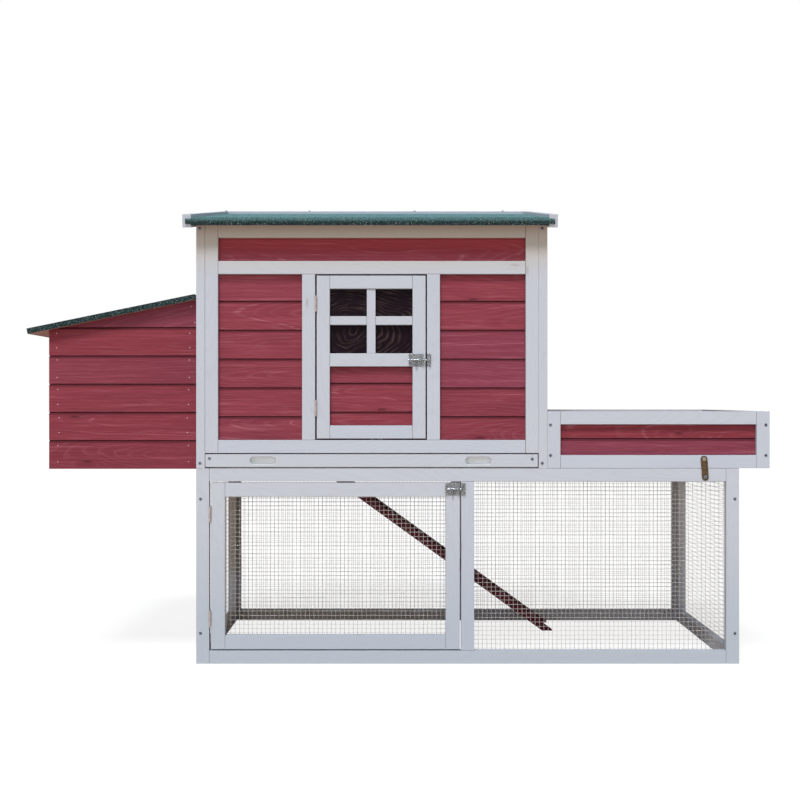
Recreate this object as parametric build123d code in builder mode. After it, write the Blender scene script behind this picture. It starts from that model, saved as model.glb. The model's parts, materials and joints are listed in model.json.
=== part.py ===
"""A raised wooden chicken coop: a hen house over a wire run, with a nest box and a planter.

X runs along the front from left to right, Y from front to back and Z up.
The origin is on the ground, under the middle of the whole coop. Sizes are in millimetres.
"""

from build123d import *

import math
import os

os.makedirs("parts", exist_ok=True)

UP = Vector(0, 0, 1)

# Timber stock
STOCK_WIDTH = 30.0
STOCK_THICKNESS = 20.0
BOARD_THICKNESS = 9.0
BOARD_RECESS = STOCK_THICKNESS - BOARD_THICKNESS
JOINT_GAP = 0.3

# Lapped red boards
LAP_SHADOW = 2.4
LAP_TONGUE = 6.0
LAP_LIP = 4.8
LAP_TONGUE_FACE = 5.1
LAP_CHAMFER = 1.2
SLIMMEST_LAP_BOARD = 8.0
HOUSE_BOARD_PITCH = 66.4
HOUSE_TOP_BOARD = 63.0
BOARD_ABOVE_LID = 60.0
NEST_BOARD_PITCH = 65.2

# Overall depth of the walls
FRONT = -320.0
BACK = 340.0
FRONT_INSIDE = FRONT + STOCK_THICKNESS
BACK_INSIDE = BACK - STOCK_THICKNESS

# Wire run
RUN_LEFT = -463.0
RUN_RIGHT = 783.0
RUN_TOP = 448.0
RUN_POST_LEFT = 145.0
MESH_THICKNESS = 0.8
MESH_OVERLAP = 10.0
MESH_CORNER_GAP = 2.0
CROSS_RAIL_RIGHT = 343.0

# Run door
RUN_DOOR = dict(x=(-429.0, 142.0), z=(33.0, 415.0))
RUN_DOOR_MEMBER = 32.0

# House
HOUSE_LEFT = -463.0
HOUSE_RIGHT = 343.0
HOUSE_EAVE = 1009.5
ROOF_SLOPE = math.radians(8.1)
FRONT_SILL = 483.0
FRONT_HEAD = 924.0
DOORWAY = (-190.0, 66.5)
FRONT_CLEARANCE = 2.0
BACK_CLEARANCE = 12.0
BACK_POST_CENTRE = -60.0

# House door
HOUSE_DOOR = dict(x=(-186.5, 63.5), z=(516.5, 890.5))
LOCK_RAIL = (682.0, 712.0)
MUNTIN_WIDTH = 20.0
MUNTIN_THICKNESS = 12.0
MUNTIN_RECESS = 3.0
MUNTIN_CENTRE_Z = 787.5
PANE_THICKNESS = 2.0
DOOR_INFILL_LINE = 576.0

# Nest box
NEST_LEFT = -805.5
NEST_BOTTOM = 446.0
NEST_FIRST_LINE = 510.0
NEST_BATTEN = 20.0
NEST_LID_SLOPE = math.radians(11.6)
NEST_LID_OUTER = -853.0
NEST_TOP_AT_HOUSE = 836.0
NEST_HOLE_BOTTOM = 530.0
NEST_HOLE_TOP = 760.0
NEST_POST_CENTRE = 10.0
LID_RAIL = (846.0, 876.0)
LID_BOARD_THICKNESS = 9.5
FELT_THICKNESS = 3.0
LID_AXIS_X = -466.8
LID_AXIS_RISE = 2.6
LID_EDGE_SETBACK = 1.3
LID_KNUCKLE_RADIUS = 2.3
LID_HINGES_Y = (-180.0, 200.0)
LID_HINGE_WIDTH = 40.0
LID_LEAF_REACH = 26.0
LID_WALL_LEAF_HEIGHT = 20.0

# Roof
ROOF_OVERHANG = 35.0
ROOF_BACK_OVERHANG = 15.0
ROOF_PANEL_THICKNESS = 12.0
FELT_DROP = 3.0
FELT_TAB_INSET = 7.0
TRIM_X = (-490.0, 363.6)
TRIM_WIDTH = 20.2
TRIM_HEIGHT = 30.0
TRIM_ABOVE = 22.0
BATTENS_X = (-215.0, 95.0)
BATTEN_END_GAP = 8.0

# Droppings tray, floor and perches
TRAY_X = (-442.0, 321.0)
TRAY_FRONT_Z = (451.0, 480.5)
TRAY_BACK = 108.0
FINGER_SLOTS_X = (-310.0, 185.0)
FINGER_SLOT = dict(length=60.0, height=18.0, depth=14.0)
PAN_HEIGHT = 26.0
PAN_THICKNESS = 1.0
PAN_LIFT = 0.5
PAN_SIDE_GAP = 2.0
RUNNER = 20.0
RUNNER_END_GAP = 1.0
FLOOR_FRONT = 112.0
FLOOR_SIDE_GAP = 1.0
PERCH_RADIUS = 13.0
PERCH_Y = (-70.0, 130.0)
PERCH_Z = 812.0
PERCH_BLOCK = 12.0
PERCH_END_GAP = 1.0

# Ramp
RAMP_HOLE_X = (-236.0, 30.0)
RAMP_HOLE_Y = (135.0, 298.0)
RAMP_SLOPE = math.radians(35.9)
RAMP_FOOT_X = 378.0
RAMP_FOOT_LENGTH = 25.0
RAMP_HEAD_SETBACK = 10.0
RAMP_WIDTH = 150.0
RAMP_RAIL = dict(width=12.0, height=18.0)
RAMP_BOARD_END = 24.0
CLEAT = dict(count=8, pitch=92.0, width=12.0, height=7.0)
RAMP_PIVOT_Z = 443.0
RAMP_ROD_RADIUS = 3.0
RAMP_ROD_BORE = 3.1
RAMP_ROD_OVERRUN = 12.0
RAMP_HOOK = dict(length=42.0, width=14.0, thickness=1.5, eye_wall=1.6, spread=45.0)
ROD_BLOCK = dict(half_length=12.0, depth=11.0, height=18.0)

# Planter
PLANTER_LEFT = 343.0
PLANTER_RIGHT = 853.0
PLANTER_BOTTOM = 448.4
PLANTER_TOP = 579.0
PLANTER_LINE = 515.0
PLANTER_SLATS = 6
DRAIN_RADIUS = 6.0
DRAIN_PITCH = 120.0

# Butt hinges
HINGE_HEIGHT = 37.0
LEAF_THICKNESS = 1.2
LEAF_DEPTH = 18.0
KNUCKLE_RADIUS = 2.5
BARREL_STANDOFF = 2.7
LEAF_SETBACK = 0.4
PIN_RADIUS = 1.2
PIN_BORE = 1.26
HOUSE_HINGE = dict(post=DOORWAY[0], door=HOUSE_DOOR["x"][0], heights=(586.0, 826.0))
RUN_HINGE = dict(post=RUN_LEFT + STOCK_WIDTH, door=RUN_DOOR["x"][0], heights=(103.0, 343.0))

# Barrel bolts
BOLT_PLATE_THICKNESS = 1.2
BOLT_ROD_RADIUS = 2.5
BOLT_BORE = 2.65
STAPLE_WIDTH = 4.0
STAPLE_HEIGHT = 8.6
STAPLE_DEPTH = 8.6
ROD_STANDOFF = 5.0
KNOB_RADIUS = 2.2
KNOB_LENGTH = 12.0
HOUSE_BOLT = dict(plate=(25.0, 58.5), z=(682.5, 710.5), keeper=(66.8, 75.8))
RUN_BOLT = dict(plate=(109.0, 141.0), z=(386.5, 414.5), keeper=(146.0, 155.0))

# Screw heads
SCREW_HEAD_RADIUS = 3.6
SCREW_HEAD_RISE = 1.0
SCREW_ROUNDING = 0.6
HOUSE_SCREWS = [(x, z) for x in (-454.3, 331.0) for z in (460.0, 998.5)]
RUN_SCREWS = [(x, z) for x in (-453.0, 773.0) for z in (70.0, 378.0)]
PLANTER_SCREWS = [(x, z) for x in (350.0, 844.0) for z in (478.0, 548.0)]
TRAY_SCREWS = [(-432.5, 471.0), (308.0, 469.5)]
ROOF_SCREWS_X = (-475.0, -245.0, 45.0, 288.0)
ROOF_SCREW = dict(width=6.0, height=2.0, rounding=2.8)

# Planter catch
CATCH_PIVOT = (705.0, 428.0)
CATCH_REACH = 41.3
CATCH_TILT = 4.2
CATCH_RADIUS = 7.7
CATCH_Y = (FRONT - 2.0, FRONT - 0.5)
CATCH_STUD = dict(radius=4.6, height=2.4, rounding=1.2)
CATCH_SCREW = dict(radius=2.2, clearance=0.1, head_gap=0.2)
CATCH_SCREW_HEAD = dict(radius=4.2, height=1.6, rounding=1.0)


def middle(span):
    """The midpoint of a (low, high) span."""
    return (span[0] + span[1]) / 2


def stick(x, y, z):
    """Add a square-edged piece that fills the spans x, y and z."""
    with Locations((middle(x), middle(y), middle(z))):
        Box(x[1] - x[0], y[1] - y[0], z[1] - z[0])


def frame_sticks(x, y, z, width=STOCK_WIDTH):
    """Add two full-height stiles and two rails between them, in a frame that faces front or back."""
    stick((x[0], x[0] + width), y, z)
    stick((x[1] - width, x[1]), y, z)
    rails = (x[0] + width + JOINT_GAP, x[1] - width - JOINT_GAP)
    stick(rails, y, (z[0], z[0] + width))
    stick(rails, y, (z[1] - width, z[1]))


def side_sticks(x, y, z, width=STOCK_WIDTH):
    """Add two full-height stiles and two rails between them, in a frame that faces left or right."""
    stick(x, (y[0], y[0] + width), z)
    stick(x, (y[1] - width, y[1]), z)
    rails = (y[0] + width + JOINT_GAP, y[1] - width - JOINT_GAP)
    stick(x, rails, (z[0], z[0] + width))
    stick(x, rails, (z[1] - width, z[1]))


def side_outline(points, x):
    """Add a plate with the outline points, given as (y, z), that fills the span x."""
    with BuildSketch(Plane.YZ.offset(x[0])) as outline:
        with BuildLine():
            Polyline(*points, close=True)
        make_face()
    extrude(outline.sketch, amount=x[1] - x[0])


def lap_board(corner, inward, length, z, has_groove=True, has_tongue=True):
    """Add one lapped board. A lip hangs over the tongue of the board below it.

    corner is the outer face's starting corner, and inward points into the house. The board
    runs for its length along inward x up.
    """
    bottom, top = z
    outline = [(0, bottom + LAP_SHADOW), (0, top - LAP_CHAMFER), (LAP_CHAMFER, top)]
    if has_tongue:
        outline += [(LAP_TONGUE_FACE, top), (LAP_TONGUE_FACE, top + LAP_TONGUE)]
        outline += [(BOARD_THICKNESS, top + LAP_TONGUE)]
    else:
        outline += [(BOARD_THICKNESS, top)]
    if has_groove:
        shoulder = bottom + LAP_TONGUE + JOINT_GAP
        outline += [(BOARD_THICKNESS, shoulder), (LAP_LIP, shoulder), (LAP_LIP, bottom + LAP_SHADOW)]
    else:
        outline[0] = (0, bottom)
        outline += [(BOARD_THICKNESS, bottom)]
    plane = Plane(origin=(corner[0], corner[1], 0), x_dir=inward, z_dir=inward.cross(UP))
    with BuildSketch(plane) as section:
        with BuildLine():
            Polyline(*outline, close=True)
        make_face()
    extrude(section.sketch, amount=length)


def lap_wall(corner, inward, length, z, first_line, pitch):
    """Add the boards of one opening, with lap lines every pitch from first_line upward."""
    lines = [z[0]]
    line = first_line
    while line < z[1] - SLIMMEST_LAP_BOARD:
        lines.append(line)
        line += pitch
    lines.append(z[1])
    for number, span in enumerate(zip(lines, lines[1:])):
        is_lowest = number == 0
        is_highest = number == len(lines) - 2
        lap_board(corner, inward, length, span, not is_lowest, not is_highest)


def roof_underside(y):
    """Height of the roof panel's underside above the ground."""
    return HOUSE_EAVE + (y - FRONT) * math.tan(ROOF_SLOPE)


def nest_wall_top(x):
    """Height of the nest box's walls, just under its lid."""
    return NEST_TOP_AT_HOUSE - (HOUSE_LEFT - x) * math.tan(NEST_LID_SLOPE)


def save(piece, name):
    """Label a finished piece and write its STEP file."""
    piece.part.label = name
    export_step(piece.part, f"parts/{name}.step")


INTO_FRONT = Vector(0, 1, 0)
INTO_BACK = Vector(0, -1, 0)
INTO_LEFT = Vector(1, 0, 0)
INTO_RIGHT = Vector(-1, 0, 0)

# ---------------------------------------------------------------- wire run

RUN_X = (RUN_LEFT, RUN_RIGHT)
RUN_Z = (0, RUN_TOP)
FRONT_Y = (FRONT, FRONT_INSIDE)
BACK_Y = (BACK_INSIDE, BACK)
RUN_POST_X = (RUN_POST_LEFT, RUN_POST_LEFT + STOCK_WIDTH)
RUN_POST_Z = (STOCK_WIDTH + JOINT_GAP, RUN_TOP - STOCK_WIDTH - JOINT_GAP)
SIDE_Y = (FRONT_INSIDE, BACK_INSIDE)
LEFT_X = (HOUSE_LEFT, HOUSE_LEFT + STOCK_THICKNESS)
RIGHT_X = (HOUSE_RIGHT - STOCK_THICKNESS, HOUSE_RIGHT)
RUN_RIGHT_X = (RUN_RIGHT - STOCK_THICKNESS, RUN_RIGHT)

with BuildPart() as run_front_frame:
    frame_sticks(RUN_X, FRONT_Y, RUN_Z)
    stick(RUN_POST_X, FRONT_Y, RUN_POST_Z)
save(run_front_frame, "run_front_frame")

with BuildPart() as run_back_frame:
    frame_sticks(RUN_X, BACK_Y, RUN_Z)
    stick(RUN_POST_X, BACK_Y, RUN_POST_Z)
save(run_back_frame, "run_back_frame")

with BuildPart() as run_left_frame:
    side_sticks(LEFT_X, SIDE_Y, RUN_Z)
save(run_left_frame, "run_left_frame")

with BuildPart() as run_right_frame:
    side_sticks(RUN_RIGHT_X, SIDE_Y, RUN_Z)
save(run_right_frame, "run_right_frame")

# It carries the right wall of the house and the left end of the planter.
with BuildPart() as run_cross_rail:
    cross_rail_y = (SIDE_Y[0] + MESH_CORNER_GAP / 2, SIDE_Y[1] - MESH_CORNER_GAP / 2)
    stick((CROSS_RAIL_RIGHT - STOCK_WIDTH, CROSS_RAIL_RIGHT), cross_rail_y, (RUN_TOP - STOCK_WIDTH, RUN_TOP))
save(run_cross_rail, "run_cross_rail")

MESH_Z = (STOCK_WIDTH - MESH_OVERLAP, RUN_TOP - STOCK_WIDTH + MESH_OVERLAP)
INNER_MESH_X = (LEFT_X[1] + MESH_CORNER_GAP, RUN_RIGHT_X[0] - MESH_CORNER_GAP)
SIDE_MESH_Y = (SIDE_Y[0] + STOCK_WIDTH - MESH_OVERLAP, SIDE_Y[1] - STOCK_WIDTH + MESH_OVERLAP)

with BuildPart() as run_front_mesh:
    front_mesh_x = (RUN_POST_X[1] - MESH_OVERLAP, INNER_MESH_X[1])
    stick(front_mesh_x, (FRONT_INSIDE, FRONT_INSIDE + MESH_THICKNESS), MESH_Z)
save(run_front_mesh, "run_front_mesh")

with BuildPart() as run_back_mesh:
    stick(INNER_MESH_X, (BACK_INSIDE - MESH_THICKNESS, BACK_INSIDE), MESH_Z)
save(run_back_mesh, "run_back_mesh")

with BuildPart() as run_side_mesh:
    stick((LEFT_X[1], LEFT_X[1] + MESH_THICKNESS), SIDE_MESH_Y, MESH_Z)
    stick((RUN_RIGHT_X[0] - MESH_THICKNESS, RUN_RIGHT_X[0]), SIDE_MESH_Y, MESH_Z)
save(run_side_mesh, "run_side_mesh")

with BuildPart() as run_door_frame:
    frame_sticks(RUN_DOOR["x"], FRONT_Y, RUN_DOOR["z"], RUN_DOOR_MEMBER)
save(run_door_frame, "run_door_frame")

with BuildPart() as run_door_mesh:
    margin = RUN_DOOR_MEMBER - MESH_OVERLAP
    door_mesh_x = (RUN_DOOR["x"][0] + margin, RUN_DOOR["x"][1] - margin)
    door_mesh_z = (RUN_DOOR["z"][0] + margin, RUN_DOOR["z"][1] - margin)
    stick(door_mesh_x, (FRONT_INSIDE, FRONT_INSIDE + MESH_THICKNESS), door_mesh_z)
save(run_door_mesh, "run_door_mesh")

# ---------------------------------------------------------------- hen house walls

STILE_Z = (FRONT_SILL, HOUSE_EAVE - FRONT_CLEARANCE)
LEFT_STILE_X = (LEFT_X[1], LEFT_X[1] + STOCK_WIDTH)
RIGHT_STILE_X = (RIGHT_X[0] - STOCK_WIDTH, RIGHT_X[0])
RAIL_X = (LEFT_STILE_X[1] + JOINT_GAP, RIGHT_STILE_X[0] - JOINT_GAP)
SILL_Z = (FRONT_SILL, FRONT_SILL + STOCK_WIDTH)
HEAD_Z = (FRONT_HEAD - STOCK_WIDTH, FRONT_HEAD)
TOP_RAIL_Z = (STILE_Z[1] - STOCK_WIDTH, STILE_Z[1])
MULLION_Z = (SILL_Z[1] + JOINT_GAP, HEAD_Z[0] - JOINT_GAP)

# Narrow corner posts stand in front of the side walls, on each side of the front wall.
with BuildPart() as house_corner_posts:
    for post_x in (LEFT_X, RIGHT_X):
        stick(post_x, FRONT_Y, (RUN_TOP, STILE_Z[1]))
save(house_corner_posts, "house_corner_posts")

with BuildPart() as house_front_frame:
    for stile_x in (LEFT_STILE_X, RIGHT_STILE_X):
        stick((stile_x[0] + JOINT_GAP, stile_x[1]), FRONT_Y, STILE_Z)
    for rail_z in (SILL_Z, HEAD_Z, TOP_RAIL_Z):
        stick(RAIL_X, FRONT_Y, rail_z)
    stick((DOORWAY[0] - STOCK_WIDTH, DOORWAY[0]), FRONT_Y, MULLION_Z)
    stick((DOORWAY[1], DOORWAY[1] + STOCK_WIDTH), FRONT_Y, MULLION_Z)
save(house_front_frame, "house_front_frame")

with BuildPart() as house_front_siding:
    board_face = FRONT + BOARD_RECESS
    first_line = HEAD_Z[0] - HOUSE_TOP_BOARD - 4 * HOUSE_BOARD_PITCH
    for left, right in (
        (RAIL_X[0], DOORWAY[0] - STOCK_WIDTH - JOINT_GAP),
        (DOORWAY[1] + STOCK_WIDTH + JOINT_GAP, RAIL_X[1]),
    ):
        lap_wall((left, board_face), INTO_FRONT, right - left, MULLION_Z, first_line, HOUSE_BOARD_PITCH)
    stick(RAIL_X, (board_face, FRONT_INSIDE), (HEAD_Z[1] + JOINT_GAP, TOP_RAIL_Z[0] - JOINT_GAP))
save(house_front_siding, "house_front_siding")

BACK_STILE_TOP = roof_underside(BACK) - BACK_CLEARANCE
BACK_RAIL_Z = (RUN_TOP + STOCK_WIDTH, BACK_STILE_TOP - STOCK_WIDTH)
BACK_POST_X = (BACK_POST_CENTRE - STOCK_WIDTH / 2, BACK_POST_CENTRE + STOCK_WIDTH / 2)

with BuildPart() as house_back_frame:
    frame_sticks((HOUSE_LEFT, HOUSE_RIGHT), BACK_Y, (RUN_TOP, BACK_STILE_TOP))
    stick(BACK_POST_X, BACK_Y, (BACK_RAIL_Z[0] + JOINT_GAP, BACK_RAIL_Z[1] - JOINT_GAP))
save(house_back_frame, "house_back_frame")

with BuildPart() as house_back_siding:
    wall_z = (BACK_RAIL_Z[0] + JOINT_GAP, BACK_RAIL_Z[1] - JOINT_GAP)
    for left, right in (
        (HOUSE_LEFT + STOCK_WIDTH, BACK_POST_X[0]),
        (BACK_POST_X[1], HOUSE_RIGHT - STOCK_WIDTH),
    ):
        start = (right - JOINT_GAP, BACK - BOARD_RECESS)
        length = right - left - 2 * JOINT_GAP
        lap_wall(start, INTO_BACK, length, wall_z, wall_z[0] + HOUSE_BOARD_PITCH, HOUSE_BOARD_PITCH)
save(house_back_siding, "house_back_siding")

SIDE_BOARD_Y = (SIDE_Y[0] + STOCK_WIDTH + JOINT_GAP, SIDE_Y[1] - STOCK_WIDTH - JOINT_GAP)


def side_wall_frame(x):
    """Add the stiles, the bottom rail and the sloping top rail of a side wall."""
    stile_fronts = (SIDE_Y[0], SIDE_Y[1] - STOCK_WIDTH)
    for near in stile_fronts:
        far = near + STOCK_WIDTH
        near_top = roof_underside(near) - FRONT_CLEARANCE
        far_top = roof_underside(far) - FRONT_CLEARANCE
        side_outline([(near, RUN_TOP), (far, RUN_TOP), (far, far_top), (near, near_top)], x)
    near, far = SIDE_BOARD_Y
    near_top = roof_underside(near) - FRONT_CLEARANCE
    far_top = roof_underside(far) - FRONT_CLEARANCE
    low_near = near_top - STOCK_WIDTH
    low_far = far_top - STOCK_WIDTH
    side_outline([(near, low_near), (far, low_far), (far, far_top), (near, near_top)], x)
    stick(x, SIDE_BOARD_Y, (RUN_TOP, RUN_TOP + STOCK_WIDTH))


def under_top_rail(bottom, x):
    """Keep only what lies above bottom and below the sloping top rail of a side wall."""
    near, far = SIDE_BOARD_Y
    drop = FRONT_CLEARANCE + STOCK_WIDTH + JOINT_GAP
    near_top = roof_underside(near) - drop
    far_top = roof_underside(far) - drop
    outline_points = [(near, bottom), (far, bottom), (far, far_top), (near, near_top)]
    with BuildSketch(Plane.YZ.offset(x[0])) as outline:
        with BuildLine():
            Polyline(*outline_points, close=True)
        make_face()
    extrude(outline.sketch, amount=x[1] - x[0], mode=Mode.INTERSECT)


NEST_RAIL_Z = (NEST_HOLE_TOP, NEST_HOLE_TOP + STOCK_WIDTH)
NEST_POST_Y = (NEST_POST_CENTRE - STOCK_WIDTH / 2, NEST_POST_CENTRE + STOCK_WIDTH / 2)

# The left wall has two ways into the nest box, and a rail that the nest lid hangs from.
with BuildPart() as house_left_frame:
    side_wall_frame(LEFT_X)
    stick(LEFT_X, SIDE_BOARD_Y, NEST_RAIL_Z)
    stick(LEFT_X, SIDE_BOARD_Y, LID_RAIL)
    stick(LEFT_X, NEST_POST_Y, (RUN_TOP + STOCK_WIDTH + JOINT_GAP, NEST_RAIL_Z[0] - JOINT_GAP))
save(house_left_frame, "house_left_frame")

HIGHEST_BOARD_TOP = roof_underside(SIDE_Y[1])

with BuildPart() as house_left_siding:
    left_face = LEFT_X[0] + BOARD_RECESS
    board_length = SIDE_BOARD_Y[1] - SIDE_BOARD_Y[0]
    above_lid = (LID_RAIL[1] + JOINT_GAP, HIGHEST_BOARD_TOP)
    above_nest = (NEST_RAIL_Z[1] + JOINT_GAP, LID_RAIL[0] - JOINT_GAP)
    nest_sill = (RUN_TOP + STOCK_WIDTH + JOINT_GAP, NEST_HOLE_BOTTOM)
    start = (left_face, SIDE_BOARD_Y[1])
    lap_wall(start, INTO_LEFT, board_length, above_lid, above_lid[0] + BOARD_ABOVE_LID, HOUSE_BOARD_PITCH)
    lap_board(start, INTO_LEFT, board_length, above_nest, False, False)
    for near, far in ((SIDE_BOARD_Y[0], NEST_POST_Y[0]), (NEST_POST_Y[1], SIDE_BOARD_Y[1])):
        sill_length = far - near - 2 * JOINT_GAP
        lap_board((left_face, far - JOINT_GAP), INTO_LEFT, sill_length, nest_sill, False, False)
    under_top_rail(RUN_TOP, LEFT_X)
save(house_left_siding, "house_left_siding")

with BuildPart() as house_right_frame:
    side_wall_frame(RIGHT_X)
save(house_right_frame, "house_right_frame")

with BuildPart() as house_right_siding:
    right_face = RIGHT_X[1] - BOARD_RECESS
    right_wall_z = (RUN_TOP + STOCK_WIDTH + JOINT_GAP, HIGHEST_BOARD_TOP)
    first_line = right_wall_z[0] + HOUSE_BOARD_PITCH
    start = (right_face, SIDE_BOARD_Y[0])
    lap_wall(start, INTO_RIGHT, board_length, right_wall_z, first_line, HOUSE_BOARD_PITCH)
    under_top_rail(RUN_TOP, RIGHT_X)
save(house_right_siding, "house_right_siding")

# ---------------------------------------------------------------- floor, perches and tray

RUNNER_Z = (RUN_TOP - RUNNER, RUN_TOP)
LEFT_RUNNER_X = (LEFT_X[1], LEFT_X[1] + RUNNER)
RIGHT_RUNNER_X = (CROSS_RAIL_RIGHT - STOCK_WIDTH - RUNNER, CROSS_RAIL_RIGHT - STOCK_WIDTH)

# Two runners carry the tray, and a beam between them carries the front edge of the floor.
with BuildPart() as floor_supports:
    for runner_x in (LEFT_RUNNER_X, RIGHT_RUNNER_X):
        stick(runner_x, (SIDE_Y[0] + RUNNER_END_GAP, SIDE_Y[1] - RUNNER_END_GAP), RUNNER_Z)
    beam_x = (LEFT_RUNNER_X[1] + JOINT_GAP, RIGHT_RUNNER_X[0] - JOINT_GAP)
    stick(beam_x, (FLOOR_FRONT - RUNNER / 2, FLOOR_FRONT + RUNNER / 2), RUNNER_Z)
save(floor_supports, "floor_supports")

# The floor is boarded behind the tray only, round the hole that the ramp leads up to.
with BuildPart() as house_floor:
    floor_z = (RUN_TOP, RUN_TOP + BOARD_THICKNESS)
    floor_x = (LEFT_X[1] + FLOOR_SIDE_GAP, RIGHT_X[0] - FLOOR_SIDE_GAP)
    stick((floor_x[0], RAMP_HOLE_X[0]), (FLOOR_FRONT, SIDE_Y[1]), floor_z)
    stick((RAMP_HOLE_X[1], floor_x[1]), (FLOOR_FRONT, SIDE_Y[1]), floor_z)
    filler_x = (RAMP_HOLE_X[0] + JOINT_GAP, RAMP_HOLE_X[1] - JOINT_GAP)
    stick(filler_x, (FLOOR_FRONT, RAMP_HOLE_Y[0]), floor_z)
    stick(filler_x, (RAMP_HOLE_Y[1], SIDE_Y[1]), floor_z)
save(house_floor, "house_floor")

with BuildPart() as perch_bars:
    bar_x = (LEFT_X[1] + PERCH_END_GAP, RIGHT_X[0] - PERCH_END_GAP)
    for perch_y in PERCH_Y:
        with BuildSketch(Plane(origin=(bar_x[0], perch_y, PERCH_Z), x_dir=(0, 1, 0), z_dir=(1, 0, 0))):
            Circle(PERCH_RADIUS)
    extrude(amount=bar_x[1] - bar_x[0])
save(perch_bars, "perch_bars")

# A small block on each side wall carries the end of a perch.
with BuildPart() as perch_blocks:
    block_z = (PERCH_Z - PERCH_RADIUS - 2 * PERCH_BLOCK, PERCH_Z - PERCH_RADIUS)
    for perch_y in PERCH_Y:
        block_y = (perch_y - 2 * PERCH_BLOCK, perch_y + 2 * PERCH_BLOCK)
        stick((LEFT_X[1], LEFT_X[1] + PERCH_BLOCK), block_y, block_z)
        stick((RIGHT_X[0] - PERCH_BLOCK, RIGHT_X[0]), block_y, block_z)
save(perch_blocks, "perch_blocks")

with BuildPart() as tray_front:
    stick(TRAY_X, FRONT_Y, TRAY_FRONT_Z)
    with BuildSketch(Plane(origin=(0, FRONT, middle(TRAY_FRONT_Z)), x_dir=(1, 0, 0), z_dir=(0, -1, 0))):
        with Locations(*[(slot_x, 0) for slot_x in FINGER_SLOTS_X]):
            SlotOverall(FINGER_SLOT["length"], FINGER_SLOT["height"])
    extrude(amount=-FINGER_SLOT["depth"], mode=Mode.SUBTRACT)
save(tray_front, "tray_front")

# A folded sheet-metal pan hangs behind the tray's front board and slides on the runners.
with BuildPart() as tray_pan:
    pan_x = (TRAY_X[0] + PAN_SIDE_GAP, TRAY_X[1] - PAN_SIDE_GAP)
    pan_y = (FRONT_INSIDE, TRAY_BACK)
    pan_z = (RUN_TOP + PAN_LIFT, RUN_TOP + PAN_LIFT + PAN_HEIGHT)
    stick(pan_x, pan_y, pan_z)
    rim = faces().sort_by(Axis.Z)[-1]
    offset(amount=-PAN_THICKNESS, openings=rim)
save(tray_pan, "tray_pan")

# ---------------------------------------------------------------- ramp

RAMP_DIRECTION = Vector(math.cos(RAMP_SLOPE), 0, -math.sin(RAMP_SLOPE))
RAMP_NORMAL = Vector(math.sin(RAMP_SLOPE), 0, math.cos(RAMP_SLOPE))
RAMP_CENTRE_Y = middle(RAMP_HOLE_Y)
RAMP_PIVOT_RISE = BOARD_THICKNESS + RAMP_HOOK["thickness"]
RAMP_HEAD_Z = RAMP_PIVOT_Z - RAMP_PIVOT_RISE * math.cos(RAMP_SLOPE)
RAMP_LENGTH = RAMP_HEAD_Z / math.sin(RAMP_SLOPE)
RAMP_HEAD = Vector(RAMP_FOOT_X, RAMP_CENTRE_Y, 0) - RAMP_DIRECTION * RAMP_LENGTH
# Its local X runs down the ramp, and its local Z stands up from the ramp's underside.
RAMP_PLANE = Plane(origin=RAMP_HEAD, x_dir=RAMP_DIRECTION, z_dir=RAMP_NORMAL)
RAMP_BOARD_RUN = (RAMP_HEAD_SETBACK, RAMP_LENGTH - RAMP_BOARD_END)
RAMP_INNER_WIDTH = RAMP_WIDTH - 2 * (RAMP_RAIL["width"] + JOINT_GAP)

# Each rail stands on a flat foot that ends in an upright cut.
with BuildPart() as ramp_rails:
    foot_run = RAMP_FOOT_LENGTH * math.cos(RAMP_SLOPE)
    foot_rise = RAMP_FOOT_LENGTH * math.sin(RAMP_SLOPE)
    toe_run = foot_run - (RAMP_RAIL["height"] - foot_rise) * math.tan(RAMP_SLOPE)
    rail_outline = [
        (RAMP_HEAD_SETBACK, 0),
        (RAMP_LENGTH, 0),
        (RAMP_LENGTH + foot_run, foot_rise),
        (RAMP_LENGTH + toe_run, RAMP_RAIL["height"]),
        (RAMP_HEAD_SETBACK, RAMP_RAIL["height"]),
    ]
    for near in (-RAMP_WIDTH / 2, RAMP_WIDTH / 2 - RAMP_RAIL["width"]):
        rail_side = Plane(origin=RAMP_HEAD + Vector(0, near, 0), x_dir=RAMP_DIRECTION, z_dir=(0, -1, 0))
        with BuildSketch(rail_side) as outline:
            with BuildLine():
                Polyline(*rail_outline, close=True)
            make_face()
        extrude(outline.sketch, amount=-RAMP_RAIL["width"])
save(ramp_rails, "ramp_rails")

# The board lies low between the rails and stops short of their feet.
with BuildPart() as ramp_board:
    with BuildSketch(RAMP_PLANE):
        with Locations((middle(RAMP_BOARD_RUN), 0)):
            Rectangle(RAMP_BOARD_RUN[1] - RAMP_BOARD_RUN[0], RAMP_INNER_WIDTH)
    extrude(amount=BOARD_THICKNESS)
save(ramp_board, "ramp_board")

with BuildPart() as ramp_cleats:
    last_cleat = RAMP_BOARD_RUN[1] - CLEAT["width"]
    with BuildSketch(RAMP_PLANE.offset(BOARD_THICKNESS)):
        for number in range(CLEAT["count"]):
            with Locations((last_cleat - number * CLEAT["pitch"], 0)):
                Rectangle(CLEAT["width"], RAMP_INNER_WIDTH)
    extrude(amount=CLEAT["height"])
save(ramp_cleats, "ramp_cleats")

RAMP_PIVOT = RAMP_PLANE.from_local_coords(Vector(0, 0, RAMP_PIVOT_RISE))

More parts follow.
